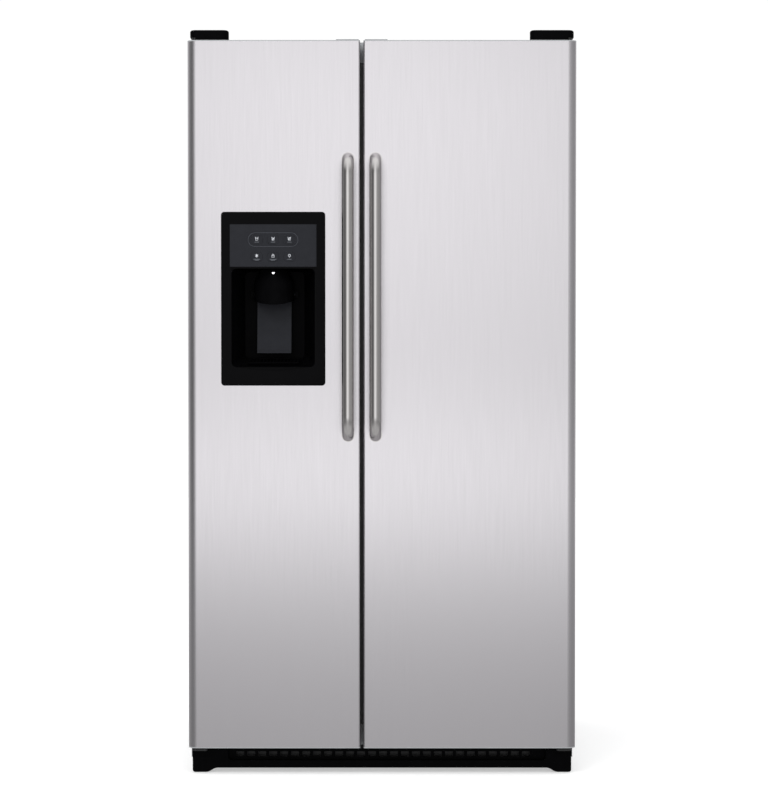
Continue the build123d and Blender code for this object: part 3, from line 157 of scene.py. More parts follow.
# One surface for each material slot that the record names.
LOOKS = {
    "stainless": surface(
        "brushed stainless", STEEL, vary=0.008, stretch=(700, 700, 5), scale=1.0, rough=0.22,
        rough_vary=0.02, metal=1.0, grain=(1400, 1400, 9), grain_scale=1.0, grain_depth=0.00002,
        grain_strength=0.03, aniso=0.85,
    ),
    "handle_steel": surface(
        "satin steel tube", srgb(222, 219, 218), vary=0.03, stretch=(900, 900, 12), scale=1.0,
        rough=0.2, rough_vary=0.03, metal=1.0, grain=(1800, 1800, 20), grain_scale=1.0,
        grain_depth=0.00001, grain_strength=0.15,
    ),
    "painted_steel": surface(
        "textured enamel", srgb(150, 152, 155), vary=0.05, scale=8, rough=0.42, rough_vary=0.08,
        grain_scale=520, grain_depth=0.00035, grain_strength=0.55,
    ),
    "zinc_steel": surface(
        "zinc plate", srgb(176, 178, 180), vary=0.16, scale=60, rough=0.38, rough_vary=0.12,
        metal=0.9, grain_scale=300, grain_depth=0.00004,
    ),
    "black_steel": surface(
        "black enamel", srgb(28, 28, 29), vary=0.15, scale=40, rough=0.35, rough_vary=0.1,
        grain_scale=400, grain_depth=0.0001,
    ),
    "foam": surface(
        "cast foam", srgb(226, 208, 160), vary=0.1, scale=90, rough=0.9, rough_vary=0.05,
        grain_scale=700, grain_depth=0.0008, grain_strength=0.8, spec=0.1,
    ),
    "white_liner": surface(
        "moulded white liner", srgb(238, 240, 240), vary=0.012, scale=6, rough=0.24, rough_vary=0.05,
        grain_scale=160, grain_depth=0.00012, grain_strength=0.12, coat=0.2,
    ),
    "white_plastic": surface(
        "white moulding", srgb(232, 234, 236), vary=0.015, scale=12, rough=0.33, rough_vary=0.05,
        grain_scale=700, grain_depth=0.00006,
    ),
    "clear_plastic": surface(
        "clear moulding", srgb(232, 243, 246), vary=0.02, scale=10, rough=0.07, rough_vary=0.03,
        grain_scale=60, grain_depth=0.0003, grain_strength=0.08, transmission=0.92, ior=1.49,
    ),
    "grey_plastic": surface(
        "grey moulding", srgb(120, 123, 127), vary=0.05, scale=30, rough=0.45, grain_scale=1200,
    ),
    "black_plastic": surface(
        "black grained moulding", srgb(5, 5, 6), vary=0.2, scale=40, rough=0.38, rough_vary=0.08,
        grain_scale=1400, grain_depth=0.00012, grain_strength=0.35, spec=0.02,
    ),
    "black_gloss": surface(
        "black gloss moulding", srgb(7, 7, 8), vary=0.1, scale=10, rough=0.11, rough_vary=0.03,
        grain_scale=90, grain_depth=0.00006, grain_strength=0.06, spec=0.03,
    ),
    "panel_grey": surface(
        "dark satin panel", srgb(35, 36, 40), vary=0.06, scale=60, rough=0.3, rough_vary=0.05,
        grain_scale=1800, grain_depth=0.00003, spec=0.07,
    ),
    "gasket_rubber": surface(
        "gasket vinyl", srgb(58, 59, 61), vary=0.06, scale=50, rough=0.62, rough_vary=0.08,
        grain_scale=900, grain_depth=0.00012, sheen=0.1,
    ),
    "cap_grey": surface(
        "cap moulding", srgb(150, 152, 154), vary=0.04, scale=30, rough=0.42, grain_scale=1300,
        grain_depth=0.0001,
    ),
    "coated_wire": surface(
        "vinyl coated wire", srgb(236, 238, 240), vary=0.03, scale=50, rough=0.28, rough_vary=0.06,
        grain_scale=220, grain_depth=0.00008, coat=0.3,
    ),
    "shelf_glass": surface(
        "tempered glass", srgb(238, 248, 245), vary=0.01, scale=5, rough=0.02, rough_vary=0.01,
        grain_scale=9, grain_depth=0.0001, grain_strength=0.03, transmission=1.0, ior=1.52,
    ),
    "aluminium_fins": surface(
        "mill aluminium", srgb(200, 203, 206), vary=0.08, scale=40, rough=0.35, rough_vary=0.08,
        metal=1.0, grain=(20, 400, 400), grain_scale=1.0,
    ),
    "foot_black": surface(
        "black plated foot", srgb(40, 40, 41), vary=0.15, scale=90, rough=0.4, metal=0.6,
        grain_scale=500,
    ),
    "roller_plastic": surface(
        "hard roller", srgb(48, 48, 50), vary=0.08, scale=60, rough=0.5, grain_scale=1100,
    ),
}
GLASS_EDGE = surface(
    "glass edge", srgb(120, 190, 170), vary=0.1, scale=40, rough=0.15, rough_vary=0.05,
    grain_scale=300, transmission=0.5, ior=1.52,
)
ICON_INK = surface(
    "icon ink", srgb(225, 228, 234), vary=0.04, scale=200, rough=0.5, rough_vary=0.05,
    grain_scale=2500, grain_depth=0.00001, spec=0.2,
)
MARK_INK = surface(
    "mark ink", srgb(120, 124, 130), vary=0.04, scale=200, rough=0.5, rough_vary=0.05,
    grain_scale=2500, grain_depth=0.00001, spec=0.2,
)
OUTLINE_INK = surface(
    "outline ink", srgb(84, 87, 94), vary=0.04, scale=200, rough=0.5, rough_vary=0.05,
    grain_scale=2500, grain_depth=0.00001, spec=0.2,
)
LAMP_LENS = surface(
    "lamp lens", srgb(250, 250, 246), vary=0.02, scale=80, rough=0.25, rough_vary=0.05,
    grain_scale=300, grain_depth=0.0001, emit=0.35,
)
# The dispenser lamp's lens glows: a painted glint, emission that stands in for a highlight.
PAINTED_LAMP_GLINT = surface(
    "dispenser lamp painted glint", srgb(250, 250, 255), vary=0.02, scale=80, rough=0.2, grain_scale=300, emit=1.2,
)

slot_of = {part["node"]: part["material_slot"] for part in frame["record"]["subparts"]}
for node, obj in NODES.items():
    obj.data.materials.clear()
    obj.data.materials.append(LOOKS[slot_of[node]])

# The glass shelves' cut edges look green.
glass = NODES["shelf_glass"].data
glass.materials.append(GLASS_EDGE)
for polygon in glass.polygons:
    if abs(polygon.normal.z) < 0.5:
        polygon.material_index = 1


# ---------------------------------------------------------------- piece building
def add_piece(name, mesh, material, body, smooth=True, modifiers=()):
    """An object from mesh data, with its modifiers, which rides on a body."""
    obj = bpy.data.objects.new(name, mesh)
    bpy.context.collection.objects.link(obj)
    obj.data.materials.append(material)
    if smooth:
        for polygon in obj.data.polygons:
            polygon.use_smooth = True
    for kind, settings in modifiers:
        modifier = obj.modifiers.new(kind.title(), kind)
        for key, value in settings.items():
            setattr(modifier, key, value)
    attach(obj, body)
    return obj


def to_mesh(name, builder):
    """The builder's faces as mesh data. The builder is used up."""
    mesh = bpy.data.meshes.new(name)
    bmesh.ops.recalc_face_normals(builder, faces=builder.faces)
    builder.to_mesh(mesh)
    builder.free()
    return mesh


def lathe(builder, profile, place, segments=28):
    """Turns (radius, height) points about the local Z axis. The first and last radius may be 0."""
    rings = []
    for radius, height in profile:
        if radius < 1e-7:
            rings.append([builder.verts.new(place @ Vector((0, 0, height)))])
            continue
        ring = []
        for i in range(segments):
            angle = 2 * math.pi * i / segments
            point = Vector((radius * math.cos(angle), radius * math.sin(angle), height))
            ring.append(builder.verts.new(place @ point))
        rings.append(ring)
    for low, high in zip(rings, rings[1:]):
        for i in range(segments):
            j = (i + 1) % segments
            if len(low) == 1:
                builder.faces.new((low[0], high[j], high[i]))
            elif len(high) == 1:
                builder.faces.new((low[i], low[j], high[0]))
            else:
                builder.faces.new((low[i], low[j], high[j], high[i]))
    for ring, order in ((rings[0], -1), (rings[-1], 1)):
        if len(ring) > 1:
            builder.faces.new(ring[::order])


def bevelled_box(builder, low, high, radius, segments=2):
    """A box between two corners with every edge rounded."""
    made = bmesh.ops.create_cube(builder, size=1.0)["verts"]
    low, high = Vector(low), Vector(high)
    for vert in made:
        for axis in range(3):
            vert.co[axis] = high[axis] if vert.co[axis] > 0 else low[axis]
    edges = list({edge for vert in made for edge in vert.link_edges})
    bmesh.ops.bevel(
        builder, geom=edges, offset=radius, offset_type="OFFSET", segments=segments, profile=0.5,
        affect="EDGES",
    )


def slotted_plate(builder, place, widths, heights, holes):
    """A flat sheet in the local XY plane from column and row edges, open at the listed cells."""
    grid = [[builder.verts.new(place @ Vector((x, y, 0))) for x in widths] for y in heights]
    for row in range(len(heights) - 1):
        for column in range(len(widths) - 1):
            if (column, row) in holes:
                continue
            near, far = grid[row], grid[row + 1]
            builder.faces.new((near[column], near[column + 1], far[column + 1], far[column]))


def wires(name, lines, radius, material, body):
    """Thin raised lines, as one curve object. A line is a list of points, or (points, True) for a loop."""
    curve = bpy.data.curves.new(name, "CURVE")
    curve.dimensions = "3D"
    curve.bevel_depth = radius
    curve.bevel_resolution = 2
    curve.use_fill_caps = True
    for line in lines:
        points, loop = line if isinstance(line, tuple) else (line, False)
        spline = curve.splines.new("POLY")
        spline.points.add(len(points) - 1)
        for point, co in zip(spline.points, points):
            point.co = (*co, 1)
        spline.use_cyclic_u = loop
    curve.materials.append(material)
    obj = bpy.data.objects.new(name, curve)
    bpy.context.collection.objects.link(obj)
    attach(obj, body)
    return obj


def arc(cx, cy, radius, start, end, steps):
    """Points on an arc, from one angle to another in degrees."""
    angles = [math.radians(start + (end - start) * i / steps) for i in range(steps + 1)]
    return [(cx + radius * math.cos(angle), cy + radius * math.sin(angle)) for angle in angles]


FACING_FRONT = Matrix.Rotation(math.radians(90), 4, "X")  # local Z to -Y, local Y to +Z
FACING_BACK = Matrix.Rotation(math.radians(-90), 4, "X") @ Matrix.Rotation(math.radians(180), 4, "Z")
FACING_DOWN = Matrix.Rotation(math.pi, 4, "X")
FACING_IN = Matrix.Rotation(math.radians(-90), 4, "X")  # local Z to +Y


def corners_of(node):
    """The low and high corners of a CAD node's box."""
    low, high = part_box(node)
    return Vector(low), Vector(high)


def centre(node):
    low, high = corners_of(node)
    return (low + high) / 2


# ---------------------------------------------------------------- dispenser's keys
ICON_LIFT = 2.6 * MM  # how far the symbol stands above its key's middle
ICON_SIZE = 1.2 * MM  # the symbols below are drawn in these units
ICON_STROKE = 0.42 * MM
MARK_DROP = 5.6 * MM  # how far the bar under the symbol is below the key's middle
MARK_STROKE = 0.4 * MM
MARK_HALF = 5 * MM
LONG_MARK_HALF = 7.5 * MM
SECOND_MARK_DROP = 2.2 * MM
INK_PROUD = 0.05 * MM

GLASS = [(-2.6, 3.2), (-1.9, -3.2), (1.9, -3.2), (2.6, 3.2)]


def crumb(x, y):
    """A small ring, which stands for a bit of crushed ice."""
    return (arc(x, y, 0.6, 0, 324, 9), True)


ICONS = {
    "pad_water": [GLASS, [(-2.2, 0.6), (-0.8, 1.2), (0.8, 0.2), (2.2, 0.8)]],
    "pad_crushed": [GLASS, crumb(-0.8, -1.4), crumb(0.9, -0.6), crumb(-0.5, 1.0)],
    "pad_cubed": [
        GLASS, ([(-1.4, -2.2), (0.2, -2.2), (0.2, -0.6), (-1.4, -0.6)], True),
        ([(-0.4, 0.3), (1.2, 0.3), (1.2, 1.9), (-0.4, 1.9)], True),
    ],
    "pad_quick_ice": [
        [(0, -3.4), (0, 3.4)], [(-2.9, -1.7), (2.9, 1.7)], [(-2.9, 1.7), (2.9, -1.7)],
        [(-1.0, 2.6), (0, 1.8), (1.0, 2.6)], [(-1.0, -2.6), (0, -1.8), (1.0, -2.6)],
    ],
    "pad_lock": [
        ([(-2.4, -3.0), (2.4, -3.0), (2.4, 0.4), (-2.4, 0.4)], True),
        [(-1.5, 0.4), (-1.5, 1.6), *arc(0, 1.6, 1.5, 180, 0, 8), (1.5, 0.4)], [(0, -0.8), (0, -1.9)],
    ],
    "pad_light": [
        [
            (-1.0, -2.0), (-1.0, -1.4), *arc(0, 0.6, 2.1, 242, -62, 16), (1.0, -1.4), (1.0, -2.0),
            (-1.0, -2.0),
        ],
        [(-0.8, -2.9), (0.8, -2.9)],
    ],
}
LONG_MARKS = ("pad_quick_ice", "pad_lock")
for node, lines in ICONS.items():
    middle = centre(node)
    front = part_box(node)[0][1] - INK_PROUD
    flat = []
    for line in lines:
        points, loop = line if isinstance(line, tuple) else (line, False)
        raised = middle.z + ICON_LIFT
        flat.append(([(middle.x + x * ICON_SIZE, front, raised + y * ICON_SIZE) for x, y in points], loop))
    wires(f"{node}_icon", flat, ICON_STROKE, ICON_INK, f"body_{node}")
    bar = middle.z - MARK_DROP
    half = LONG_MARK_HALF if node in LONG_MARKS else MARK_HALF
    dashes = [[(middle.x - half, front, bar), (middle.x + half, front, bar)]]
    if node in LONG_MARKS:
        lower, shorter = bar - SECOND_MARK_DROP, half * 0.6
        dashes.append([(middle.x - shorter, front, lower), (middle.x + shorter, front, lower)])
    wires(f"{node}_mark", dashes, MARK_STROKE, MARK_INK, f"body_{node}")

# A faint line round the upper row of keys.
panel_low, panel_high = corners_of("control_panel")
row = centre("pad_crushed")
reach = centre("pad_cubed").x - row.x + 4 * MM
ring_radius = 16 * MM
stadium = [
    (row.x + reach + x, panel_low.y, row.z + z) for x, z in arc(0, 0, ring_radius, -90, 90, 16)
] + [(row.x - reach + x, panel_low.y, row.z + z) for x, z in arc(0, 0, ring_radius, 90, 270, 16)]
wires("panel_top_outline", [(stadium, True)], 0.25 * MM, OUTLINE_INK, "freezer_door")

# ---------------------------------------------------------------- dispenser's recess
well_low, well_high = corners_of("dispenser_well")
chute_low, chute_high = corners_of("dispenser_chute")
mid_x = (well_low.x + well_high.x) / 2


def in_mm(profile):
    return [(radius * MM, height * MM) for radius, height in profile]


# A small lamp under the recess's top, as (radius, height) profiles that hang down. Its lens glows faintly, and
# that glow is a painted glint, a highlight made by emission.
LAMP_HOLDER = in_mm([(0, 0), (6, 0), (6, 5), (5, 6.5), (4.4, 6.5), (3.2, 5.0), (0, 5.0)])
LAMP_BULB = in_mm([(0, 5.2), (3.0, 5.2), (3.1, 7.4), (2.4, 9.2), (1.2, 10.2), (0, 10.5)])
lamp_place = Matrix.Translation((mid_x, chute_low.y - 3.5 * MM, well_high.z - 4 * MM)) @ FACING_DOWN
holder = bmesh.new()
lathe(holder, LAMP_HOLDER, lamp_place)
add_piece(
    "dispenser_lamp_holder", to_mesh("lamp_holder", holder), LOOKS["black_plastic"], "freezer_door",
)
bulb = bmesh.new()
lathe(bulb, LAMP_BULB, lamp_place)
add_piece("dispenser_lamp_lens", to_mesh("lamp_lens", bulb), PAINTED_LAMP_GLINT, "freezer_door")

# A removable catch tray with slots, on the recess's sloping floor.
TRAY_SLOTS = 14
TRAY_PITCH = 8 * MM
TRAY_SLOT_HALF = 2.2 * MM
TRAY_HALF = 60 * MM
TRAY_DEPTH = 44 * MM
TRAY_RIM = 5 * MM
FLOOR_SLOPE = math.atan2(20, 76)
tray = bmesh.new()
first_slot = -52 * MM
columns = [-TRAY_HALF]
for i in range(TRAY_SLOTS):
    slot_middle = first_slot + i * TRAY_PITCH
    columns += [slot_middle - TRAY_SLOT_HALF, slot_middle + TRAY_SLOT_HALF]
columns.append(TRAY_HALF)
rows = [0, TRAY_RIM, TRAY_DEPTH - TRAY_RIM, TRAY_DEPTH]
open_cells = {(2 * i + 1, 1) for i in range(TRAY_SLOTS)}
tray_start = Matrix.Translation((mid_x, well_low.y + 8 * MM, well_low.z + 13 * MM))
slotted_plate(tray, tray_start @ Matrix.Rotation(FLOOR_SLOPE, 4, "X"), columns, rows, open_cells)
add_piece(
    "dispenser_tray", to_mesh("tray", tray), LOOKS["black_plastic"], "freezer_door",
    smooth=False,
    modifiers=[
        ("SOLIDIFY", {"thickness": 2.5 * MM, "offset": -1.0}),
        ("BEVEL", {"width": 0.5 * MM, "segments": 2, "limit_method": "ANGLE"}),
    ],
)


# ---------------------------------------------------------------- screws
def screw_head(builder, place, radius=4 * MM, height=1.4 * MM):
    """A low domed head with a crossed recess, pointing along the local Z axis."""
    arm, core, depth = radius * 0.55, radius * 0.13, height * 0.55
    segments = 24
    angles = [2 * math.pi * i / segments for i in range(segments)]
    outer = [Vector((math.cos(angle), math.sin(angle), 0)) for angle in angles]

    def ring(share, lift):
        return [builder.verts.new(place @ (v * radius * share + Vector((0, 0, lift)))) for v in outer]

    base, shoulder, crown = ring(1, 0), ring(0.93, height * 0.6), ring(0.7, height)
    cross = []
    for quarter in range(4):
        turn = Matrix.Rotation(math.pi / 2 * quarter, 4, "Z")
        for x, y in ((core, core), (core, arm), (-core, arm)):
            cross.append(turn @ Vector((x, y, height)))
    rim = [builder.verts.new(place @ point) for point in cross]
    pit = [builder.verts.new(place @ (point - Vector((0, 0, depth)))) for point in cross]
    for low, high in ((base, shoulder), (shoulder, crown)):
        for i in range(segments):
            j = (i + 1) % segments
            builder.faces.new((low[i], low[j], high[j], high[i]))
    builder.faces.new(base[::-1])
    count = len(rim)
    for i in range(count):
        j = (i + 1) % count
        builder.faces.new((pit[i], rim[i], rim[j], pit[j]))
    builder.faces.new(pit)
    crown_edges = [builder.edges.get((crown[i], crown[(i + 1) % segments])) for i in range(segments)]
    rim_edges = [builder.edges.get((rim[i], rim[(i + 1) % count])) for i in range(count)]
    bmesh.ops.bridge_loops(builder, edges=crown_edges + rim_edges)


def screws(name, places, body, slot, radius=4 * MM):
    builder = bmesh.new()
    for place in places:
        screw_head(builder, place, radius)
    mesh = to_mesh(name, builder)
    return add_piece(name, mesh, LOOKS[slot], body, smooth=False)


for side in ("left", "right"):
    low, high = corners_of(f"hinge_cover_{side}")
    place = Matrix.Translation(((low.x + high.x) / 2, high.y - 22 * MM, high.z))
    screws(f"hinge_cover_{side}_screws", [place], "cabinet", "zinc_steel", 4.2 * MM)

# Round the rear panel's edges, and along the machine room cover's upper and lower edges.
PANEL_SCREW_LEVELS = (0.36, 0.62, 0.88, 1.14, 1.40)
COVER_SCREW_TOP = 0.318
SCREW_INSET = 14 * MM
EDGE_INSET = 12 * MM
back_low, back_high = corners_of("rear_panels")
left, right = back_low.x + SCREW_INSET, back_high.x - SCREW_INSET
levels = (*PANEL_SCREW_LEVELS, back_high.z - EDGE_INSET)
spots = [(left, z) for z in levels]
spots += [(0, levels[0]), (0, levels[-1])]
spots += [(right, z) for z in levels]
for x in (left, back_low.x + 0.3, back_high.x - 0.3, right):
    for z in (back_low.z + EDGE_INSET, COVER_SCREW_TOP):
        spots.append((x, z))
screws(
    "rear_screws",
    [Matrix.Translation((x, back_high.y, z)) @ FACING_BACK for x, z in spots],
    "cabinet", "zinc_steel",
)


# ---------------------------------------------------------------- inside the cabinet
LINER_WALL = 2 * MM
fresh_low, fresh_high = corners_of("fresh_food_liner")
back_wall = fresh_high.y - LINER_WALL
shelf_low, shelf_high = corners_of("fresh_shelf_frames")

# Two slotted strips on the back wall carry the shelves' brackets.
TRACK_BOTTOM = 0.73
TRACK_SLOTS = 34
TRACK_STEP = 12 * MM
track_x = (shelf_low.x + 55 * MM, shelf_high.x - 55 * MM)
track_builder = bmesh.new()
heights = [i * TRACK_STEP for i in range(2 * TRACK_SLOTS + 2)]
cells = {(1, 2 * i + 1) for i in range(TRACK_SLOTS)}
for x in track_x:
    place = Matrix.Translation((x, back_wall - 3 * MM, TRACK_BOTTOM)) @ FACING_FRONT
    slotted_plate(track_builder, place, [-11 * MM, -3 * MM, 3 * MM, 11 * MM], heights, cells)
add_piece(
    "shelf_tracks", to_mesh("shelf_tracks", track_builder), LOOKS["coated_wire"], "cabinet",
    smooth=False, modifiers=[("SOLIDIFY", {"thickness": 1.5 * MM, "offset": -1.0})],
)

# Under each glass shelf, two tapering brackets reach forwards from the strips.
BRACKET_TOPS = (1.352, 1.102, 0.852)
BRACKET_FRONT = 0.02
BRACKET_TIP = 12 * MM
BRACKET_HEIGHT = 34 * MM
BRACKET_HALF = 1.5 * MM
brackets = bmesh.new()
for top in BRACKET_TOPS:
    for x in track_x:
        outline = [
            (back_wall - 4 * MM, top),
            (BRACKET_FRONT, top),
            (BRACKET_FRONT, top - BRACKET_TIP),
            (back_wall - 40 * MM, top - BRACKET_HEIGHT),
            (back_wall - 4 * MM, top - BRACKET_HEIGHT),
        ]
        left = [brackets.verts.new((x - BRACKET_HALF, y, z)) for y, z in outline]
        right = [brackets.verts.new((x + BRACKET_HALF, y, z)) for y, z in outline]
        brackets.faces.new(left)
        brackets.faces.new(right[::-1])
        for i in range(len(outline)):
            j = (i + 1) % len(outline)
            brackets.faces.new((left[j], left[i], right[i], right[j]))
bmesh.ops.recalc_face_normals(brackets, faces=brackets.faces)
add_piece(
    "shelf_brackets", to_mesh("shelf_brackets", brackets), LOOKS["coated_wire"], "cabinet",
    smooth=False, modifiers=[("BEVEL", {"width": 0.6 * MM, "segments": 2, "limit_method": "ANGLE"})],
)

# The air tower on the fresh food compartment's back wall, with its slots.
TOWER_HALF = 55 * MM
TOWER_Z = (1.44, 1.62)
LOUVRE_HALF = 40 * MM
LOUVRE_BOTTOM = 1.47
tower_x = (fresh_low.x + fresh_high.x) / 2
tower = bmesh.new()
bevelled_box(
    tower, (tower_x - TOWER_HALF, back_wall - 16 * MM, TOWER_Z[0]), (tower_x + TOWER_HALF, back_wall, TOWER_Z[1]),
    6 * MM, 3,
)
add_piece("air_tower", to_mesh("air_tower", tower), LOOKS["white_plastic"], "cabinet")
vents = bmesh.new()
for i in range(8):
    z = LOUVRE_BOTTOM + i * 16 * MM
    bevelled_box(
        vents, (tower_x - LOUVRE_HALF, back_wall - 18.5 * MM, z),
        (tower_x + LOUVRE_HALF, back_wall - 15 * MM, z + 7 * MM), 1.4 * MM,
    )
add_piece(
    "air_tower_louvres", to_mesh("air_tower_louvres", vents), LOOKS["white_plastic"], "cabinet",
)


def ribbed_lens(name, low, high, down, body):
    """A lamp lens with fine ribs. down is True under a ceiling, False on a back wall."""
    builder = bmesh.new()
    across, along = 40, 8
    depth = (high[2] - low[2]) if down else (high[1] - low[1])
    points = []
    for i in range(across + 1):
        u = i / across
        line = []
        for j in range(along + 1):
            v = j / along
            crown = (1 - (2 * u - 1) ** 4) * (1 - (2 * v - 1) ** 4)
            rib = 0.12 if i % 2 else 0.0
            drop = depth * max(0.02, crown * (0.88 + rib))
            if down:
                co = (low[0] + (high[0] - low[0]) * u, low[1] + (high[1] - low[1]) * v, high[2] - drop)
            else:
                co = (low[0] + (high[0] - low[0]) * u, high[1] - drop, low[2] + (high[2] - low[2]) * v)
            line.append(builder.verts.new(co))
        points.append(line)
    for i in range(across):
        for j in range(along):
            builder.faces.new((points[i][j], points[i][j + 1], points[i + 1][j + 1], points[i + 1][j]))
    bmesh.ops.recalc_face_normals(builder, faces=builder.faces)
    return add_piece(
        name, to_mesh(name, builder), LAMP_LENS, body, smooth=False,
        modifiers=[("SOLIDIFY", {"thickness": 1.2 * MM, "offset": -1.0})],
    )


box_low, box_high = corners_of("control_box")
ribbed_lens(
    "fresh_lamp_lens",
    (box_low.x + 40 * MM, box_low.y + 55 * MM, box_low.z - 7 * MM),
    (box_high.x - 40 * MM, box_high.y - 40 * MM, box_low.z + 0.5 * MM),
    True, "cabinet",
)
cover_low, cover_high = corners_of("evaporator_cover")
cover_x = (cover_low.x + cover_high.x) / 2
ribbed_lens(
    "freezer_lamp_lens",
    (cover_x - 45 * MM, cover_low.y - 9 * MM, 1.235), (cover_x + 45 * MM, cover_low.y + 0.5 * MM, 1.30),
    False, "cabinet",
)

# Degree marks around each temperature dial, and the dial's pointer line.
for node in ("dial_freezer", "dial_fresh_food"):
    low, high = corners_of(node)
    middle = (low + high) / 2
    face = box_low.y + 8 * MM
    ticks = []
    for i in range(9):
        angle = math.radians(225 - i * 270 / 8)
        across, up = math.cos(angle), math.sin(angle)
        inner, outer = 23.5 * MM, (27 if i % 2 == 0 else 25.5) * MM
        ticks.append([
            (middle.x + inner * across, face, middle.z + inner * up),
            (middle.x + outer * across, face, middle.z + outer * up),
        ])
    wires(f"{node}_scale", ticks, 0.35 * MM, LOOKS["grey_plastic"], "cabinet")
    pointer = [[(middle.x, low.y, middle.z + 4 * MM), (middle.x, low.y, middle.z + 15 * MM)]]
    wires(f"{node}_pointer", pointer, 0.6 * MM, LOOKS["white_plastic"], f"body_{node}")

# The water filter beside the control box.
filter_builder = bmesh.new()
filter_x = box_high.x + 52 * MM
filter_z = box_low.z + 28 * MM
FILTER_PROFILE = in_mm([
    (0, -2), (20, -2), (24, 0), (26, 4), (26, 34), (23.5, 36), (23.5, 40), (27, 42), (27, 185), (22, 192),
    (0, 192),
])
lathe(filter_builder, FILTER_PROFILE, Matrix.Translation((filter_x, box_low.y + 5 * MM, filter_z)) @ FACING_IN, 40)
bevelled_box(
    filter_builder, (filter_x - 3 * MM, box_low.y - 6 * MM, filter_z - 17 * MM),
    (filter_x + 3 * MM, box_low.y + 4 * MM, filter_z + 17 * MM), 1.5 * MM,
)
add_piece(
    "water_filter", to_mesh("water_filter", filter_builder), LOOKS["white_plastic"], "cabinet",
    smooth=False, modifiers=[("BEVEL", {"width": 0.8 * MM, "segments": 2, "limit_method": "ANGLE"})],
)

# The humidity slider on the crisper cover's front rail.
SLIDER_X = (0.26, 0.36)
KNOB_X = (0.292, 0.308)
rail_low, rail_high = corners_of("crisper_frame")
rail_front, rail_z = rail_low.y, rail_high.z - 10 * MM
slider = bmesh.new()
bevelled_box(
    slider, (SLIDER_X[0], rail_front - 1.2 * MM, rail_z - 4 * MM),
    (SLIDER_X[1], rail_front + 0.4 * MM, rail_z + 4 * MM), 0.5 * MM,
)
add_piece(
    "humidity_track", to_mesh("humidity_track", slider), LOOKS["grey_plastic"], "cabinet",
    smooth=False,
)
knob = bmesh.new()
bevelled_box(
    knob, (KNOB_X[0], rail_front - 6 * MM, rail_z - 3.4 * MM),
    (KNOB_X[1], rail_front - 1 * MM, rail_z + 3.4 * MM), 1 * MM,
)
add_piece(
    "humidity_knob", to_mesh("humidity_knob", knob), LOOKS["white_plastic"], "cabinet",
    smooth=False,
)

# ---------------------------------------------------------------- studio
FLOOR_HALF = 9.0
floor_builder = bmesh.new()
floor_corners = []
for x, y in ((-1, -1), (1, -1), (1, 1), (-1, 1)):
    floor_corners.append(floor_builder.verts.new((x * FLOOR_HALF, y * FLOOR_HALF, 0)))
floor_builder.faces.new(floor_corners)
floor = bpy.data.objects.new("floor", to_mesh("floor", floor_builder))
bpy.context.collection.objects.link(floor)
floor_material = surface(
    "studio floor", (0.62, 0.62, 0.62), vary=0.01, scale=2, rough=0.9, grain_scale=50, spec=0.0, emit=0.75,
)
floor.data.materials.append(floor_material)
floor.visible_glossy = False


DOME_RADIUS = 7.0
SKY = 1.03
# How bright the studio looks in a reflection, by height on the dome in metres.
BY_HEIGHT = (
    (-4.0, 0.5), (-1.25, 0.46), (-0.9, 0.515), (-0.6, 0.59), (-0.3, 0.74), (-0.05, 0.96), (0.15, 1.12),
    (0.4, 1.15), (0.9, 0.97), (1.6, 1.07), (2.3, 1.11), (2.8, 1.03), (4.5, 0.9), (6.9, 0.95),
)
# The same by direction: degrees from straight ahead, towards the left when negative.
BY_BEARING = (
    (-180, 0.9), (-125, 0.6), (-100, 0.3), (-80, 0.17), (-52, 0.11), (-36, 0.17), (-22, 0.42), (-14, 1.0),
    (-8, 1.03), (8, 1.0), (12, 0.85), (20, 0.48), (36, 0.36), (60, 0.3), (100, 0.26), (125, 0.5), (180, 0.9),
)
# How little the direction matters at each height: low down and straight overhead all sides are alike.
EVEN_BY_HEIGHT = ((-4.0, 0.9), (-1.25, 0.34), (-0.6, 0.26), (-0.05, 0.08), (0.3, 0.0), (3.8, 0.0), (6.6, 0.9))


def blend(tree, stops, source, output):
    """A smooth change of value over stops of (position, value)."""
    first, last = stops[0][0], stops[-1][0]
    place = tree.nodes.new("ShaderNodeMapRange")
    place.inputs["From Min"].default_value = first
    place.inputs["From Max"].default_value = last
    link(tree, source, output, place, "Value")
    ramp = tree.nodes.new("ShaderNodeValToRGB")
    ramp.color_ramp.interpolation = "LINEAR"
    elements = ramp.color_ramp.elements
    while len(elements) < len(stops):
        elements.new(0.5)
    for element, (position, value) in zip(elements, stops):
        element.position = (position - first) / (last - first)
        element.color = (value, value, value, 1)
    link(tree, place, "Result", ramp, "Fac")
    return ramp


def angle_node(tree, operation, first, output, second=None):
    """A math node on one value, or on two."""
    node = tree.nodes.new("ShaderNodeMath")
    node.operation = operation
    link(tree, first, output, node, 0)
    if second is not None:
        link(tree, second, "Value", node, 1)
    return node


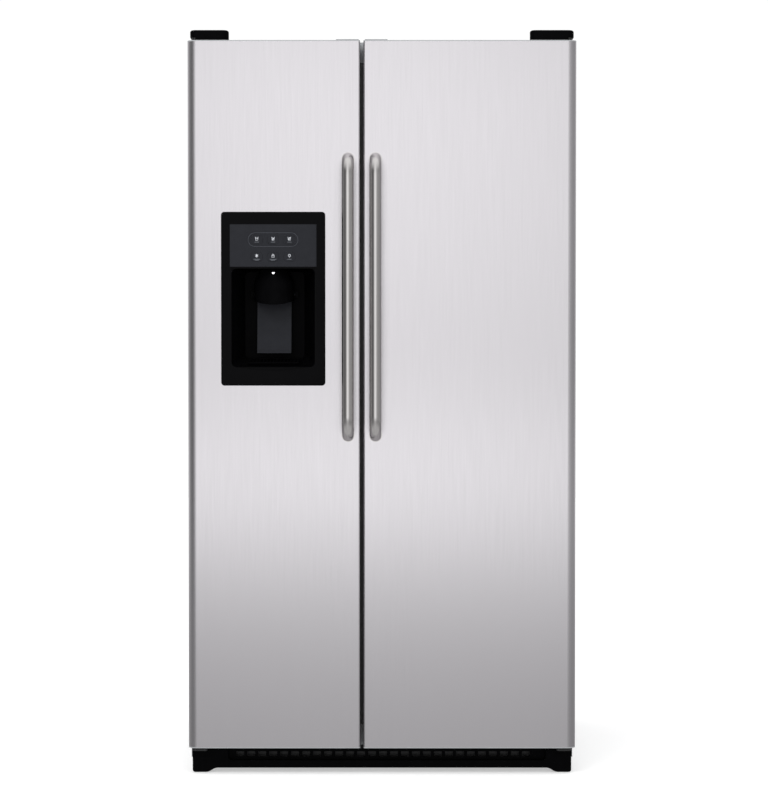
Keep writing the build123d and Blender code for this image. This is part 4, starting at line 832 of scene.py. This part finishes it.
def studio_dome():
    """The studio's walls and ceiling as a dome that only reflections see."""
    builder = bmesh.new()
    bmesh.ops.create_uvsphere(builder, u_segments=64, v_segments=32, radius=DOME_RADIUS)
    dome = bpy.data.objects.new("studio_dome", to_mesh("studio_dome", builder))
    bpy.context.collection.objects.link(dome)
    material = bpy.data.materials.new("studio dome")
    material.use_nodes = True
    tree = material.node_tree
    tree.nodes.clear()
    out = tree.nodes.new("ShaderNodeOutputMaterial")
    glow = tree.nodes.new("ShaderNodeEmission")
    coords = tree.nodes.new("ShaderNodeTexCoord")
    split = tree.nodes.new("ShaderNodeSeparateXYZ")
    link(tree, coords, "Object", split, "Vector")
    forward = angle_node(tree, "MULTIPLY", split, "Y")
    forward.inputs[1].default_value = -1
    bearing = angle_node(tree, "ARCTAN2", split, "X", forward)
    degrees = angle_node(tree, "DEGREES", bearing, "Value")
    evened = tree.nodes.new("ShaderNodeMix")
    evened.inputs["B"].default_value = 1
    link(tree, blend(tree, EVEN_BY_HEIGHT, split, "Z"), "Color", evened, "Factor")
    link(tree, blend(tree, BY_BEARING, degrees, "Value"), "Color", evened, "A")
    product = tree.nodes.new("ShaderNodeMath")
    product.operation = "MULTIPLY"
    link(tree, blend(tree, BY_HEIGHT, split, "Z"), "Color", product, 0)
    link(tree, evened, "Result", product, 1)
    link(tree, product, "Value", glow, "Strength")
    link(tree, glow, "Emission", out, "Surface")
    dome.data.materials.append(material)
    dome.visible_camera = False
    dome.visible_diffuse = False
    dome.visible_shadow = False
    dome.visible_transmission = False


studio_dome()

world = bpy.data.worlds.new("studio")
bpy.context.scene.world = world
world.use_nodes = True
world.node_tree.nodes["Background"].inputs["Color"].default_value = (1, 1, 1, 1)
world.node_tree.nodes["Background"].inputs["Strength"].default_value = SKY


def area_light(name, place, target, size, watts):
    """A soft lamp aimed at a point. Reflections don't show it."""
    light = bpy.data.lights.new(name, "AREA")
    light.shape = "RECTANGLE"
    light.size, light.size_y = size
    light.energy = watts
    obj = bpy.data.objects.new(name, light)
    obj.location = place
    direction = Vector(target) - Vector(place)
    obj.rotation_euler = direction.to_track_quat("-Z", "Y").to_euler()
    obj.visible_glossy = False
    bpy.context.collection.objects.link(obj)
    return obj


area_light("key", (-1.6, -3.2, 3.6), (0, 0, 1.0), (2.2, 1.2), 45)
area_light("top_strip", (0.0, -1.5, 3.4), (0, -0.3, 1.2), (2.4, 0.35), 22)

CAMERA_DISTANCE = 5.0
CAMERA_X = 0.0048
CAMERA_HEIGHT = 1.0
AIM = Vector((CAMERA_X, -0.359, 0.8805))  # a point on the doors' faces
camera = bpy.data.cameras.new("camera")
camera.lens = 96.4
camera.sensor_width = 36
camera.clip_end = 60
camera_object = bpy.data.objects.new("camera", camera)
bpy.context.collection.objects.link(camera_object)
camera_object.location = (CAMERA_X, AIM.y - CAMERA_DISTANCE, CAMERA_HEIGHT)
camera_object.rotation_euler = (AIM - camera_object.location).to_track_quat("-Z", "Y").to_euler()
bpy.context.scene.camera = camera_object
bpy.context.scene.view_settings.view_transform = "Standard"
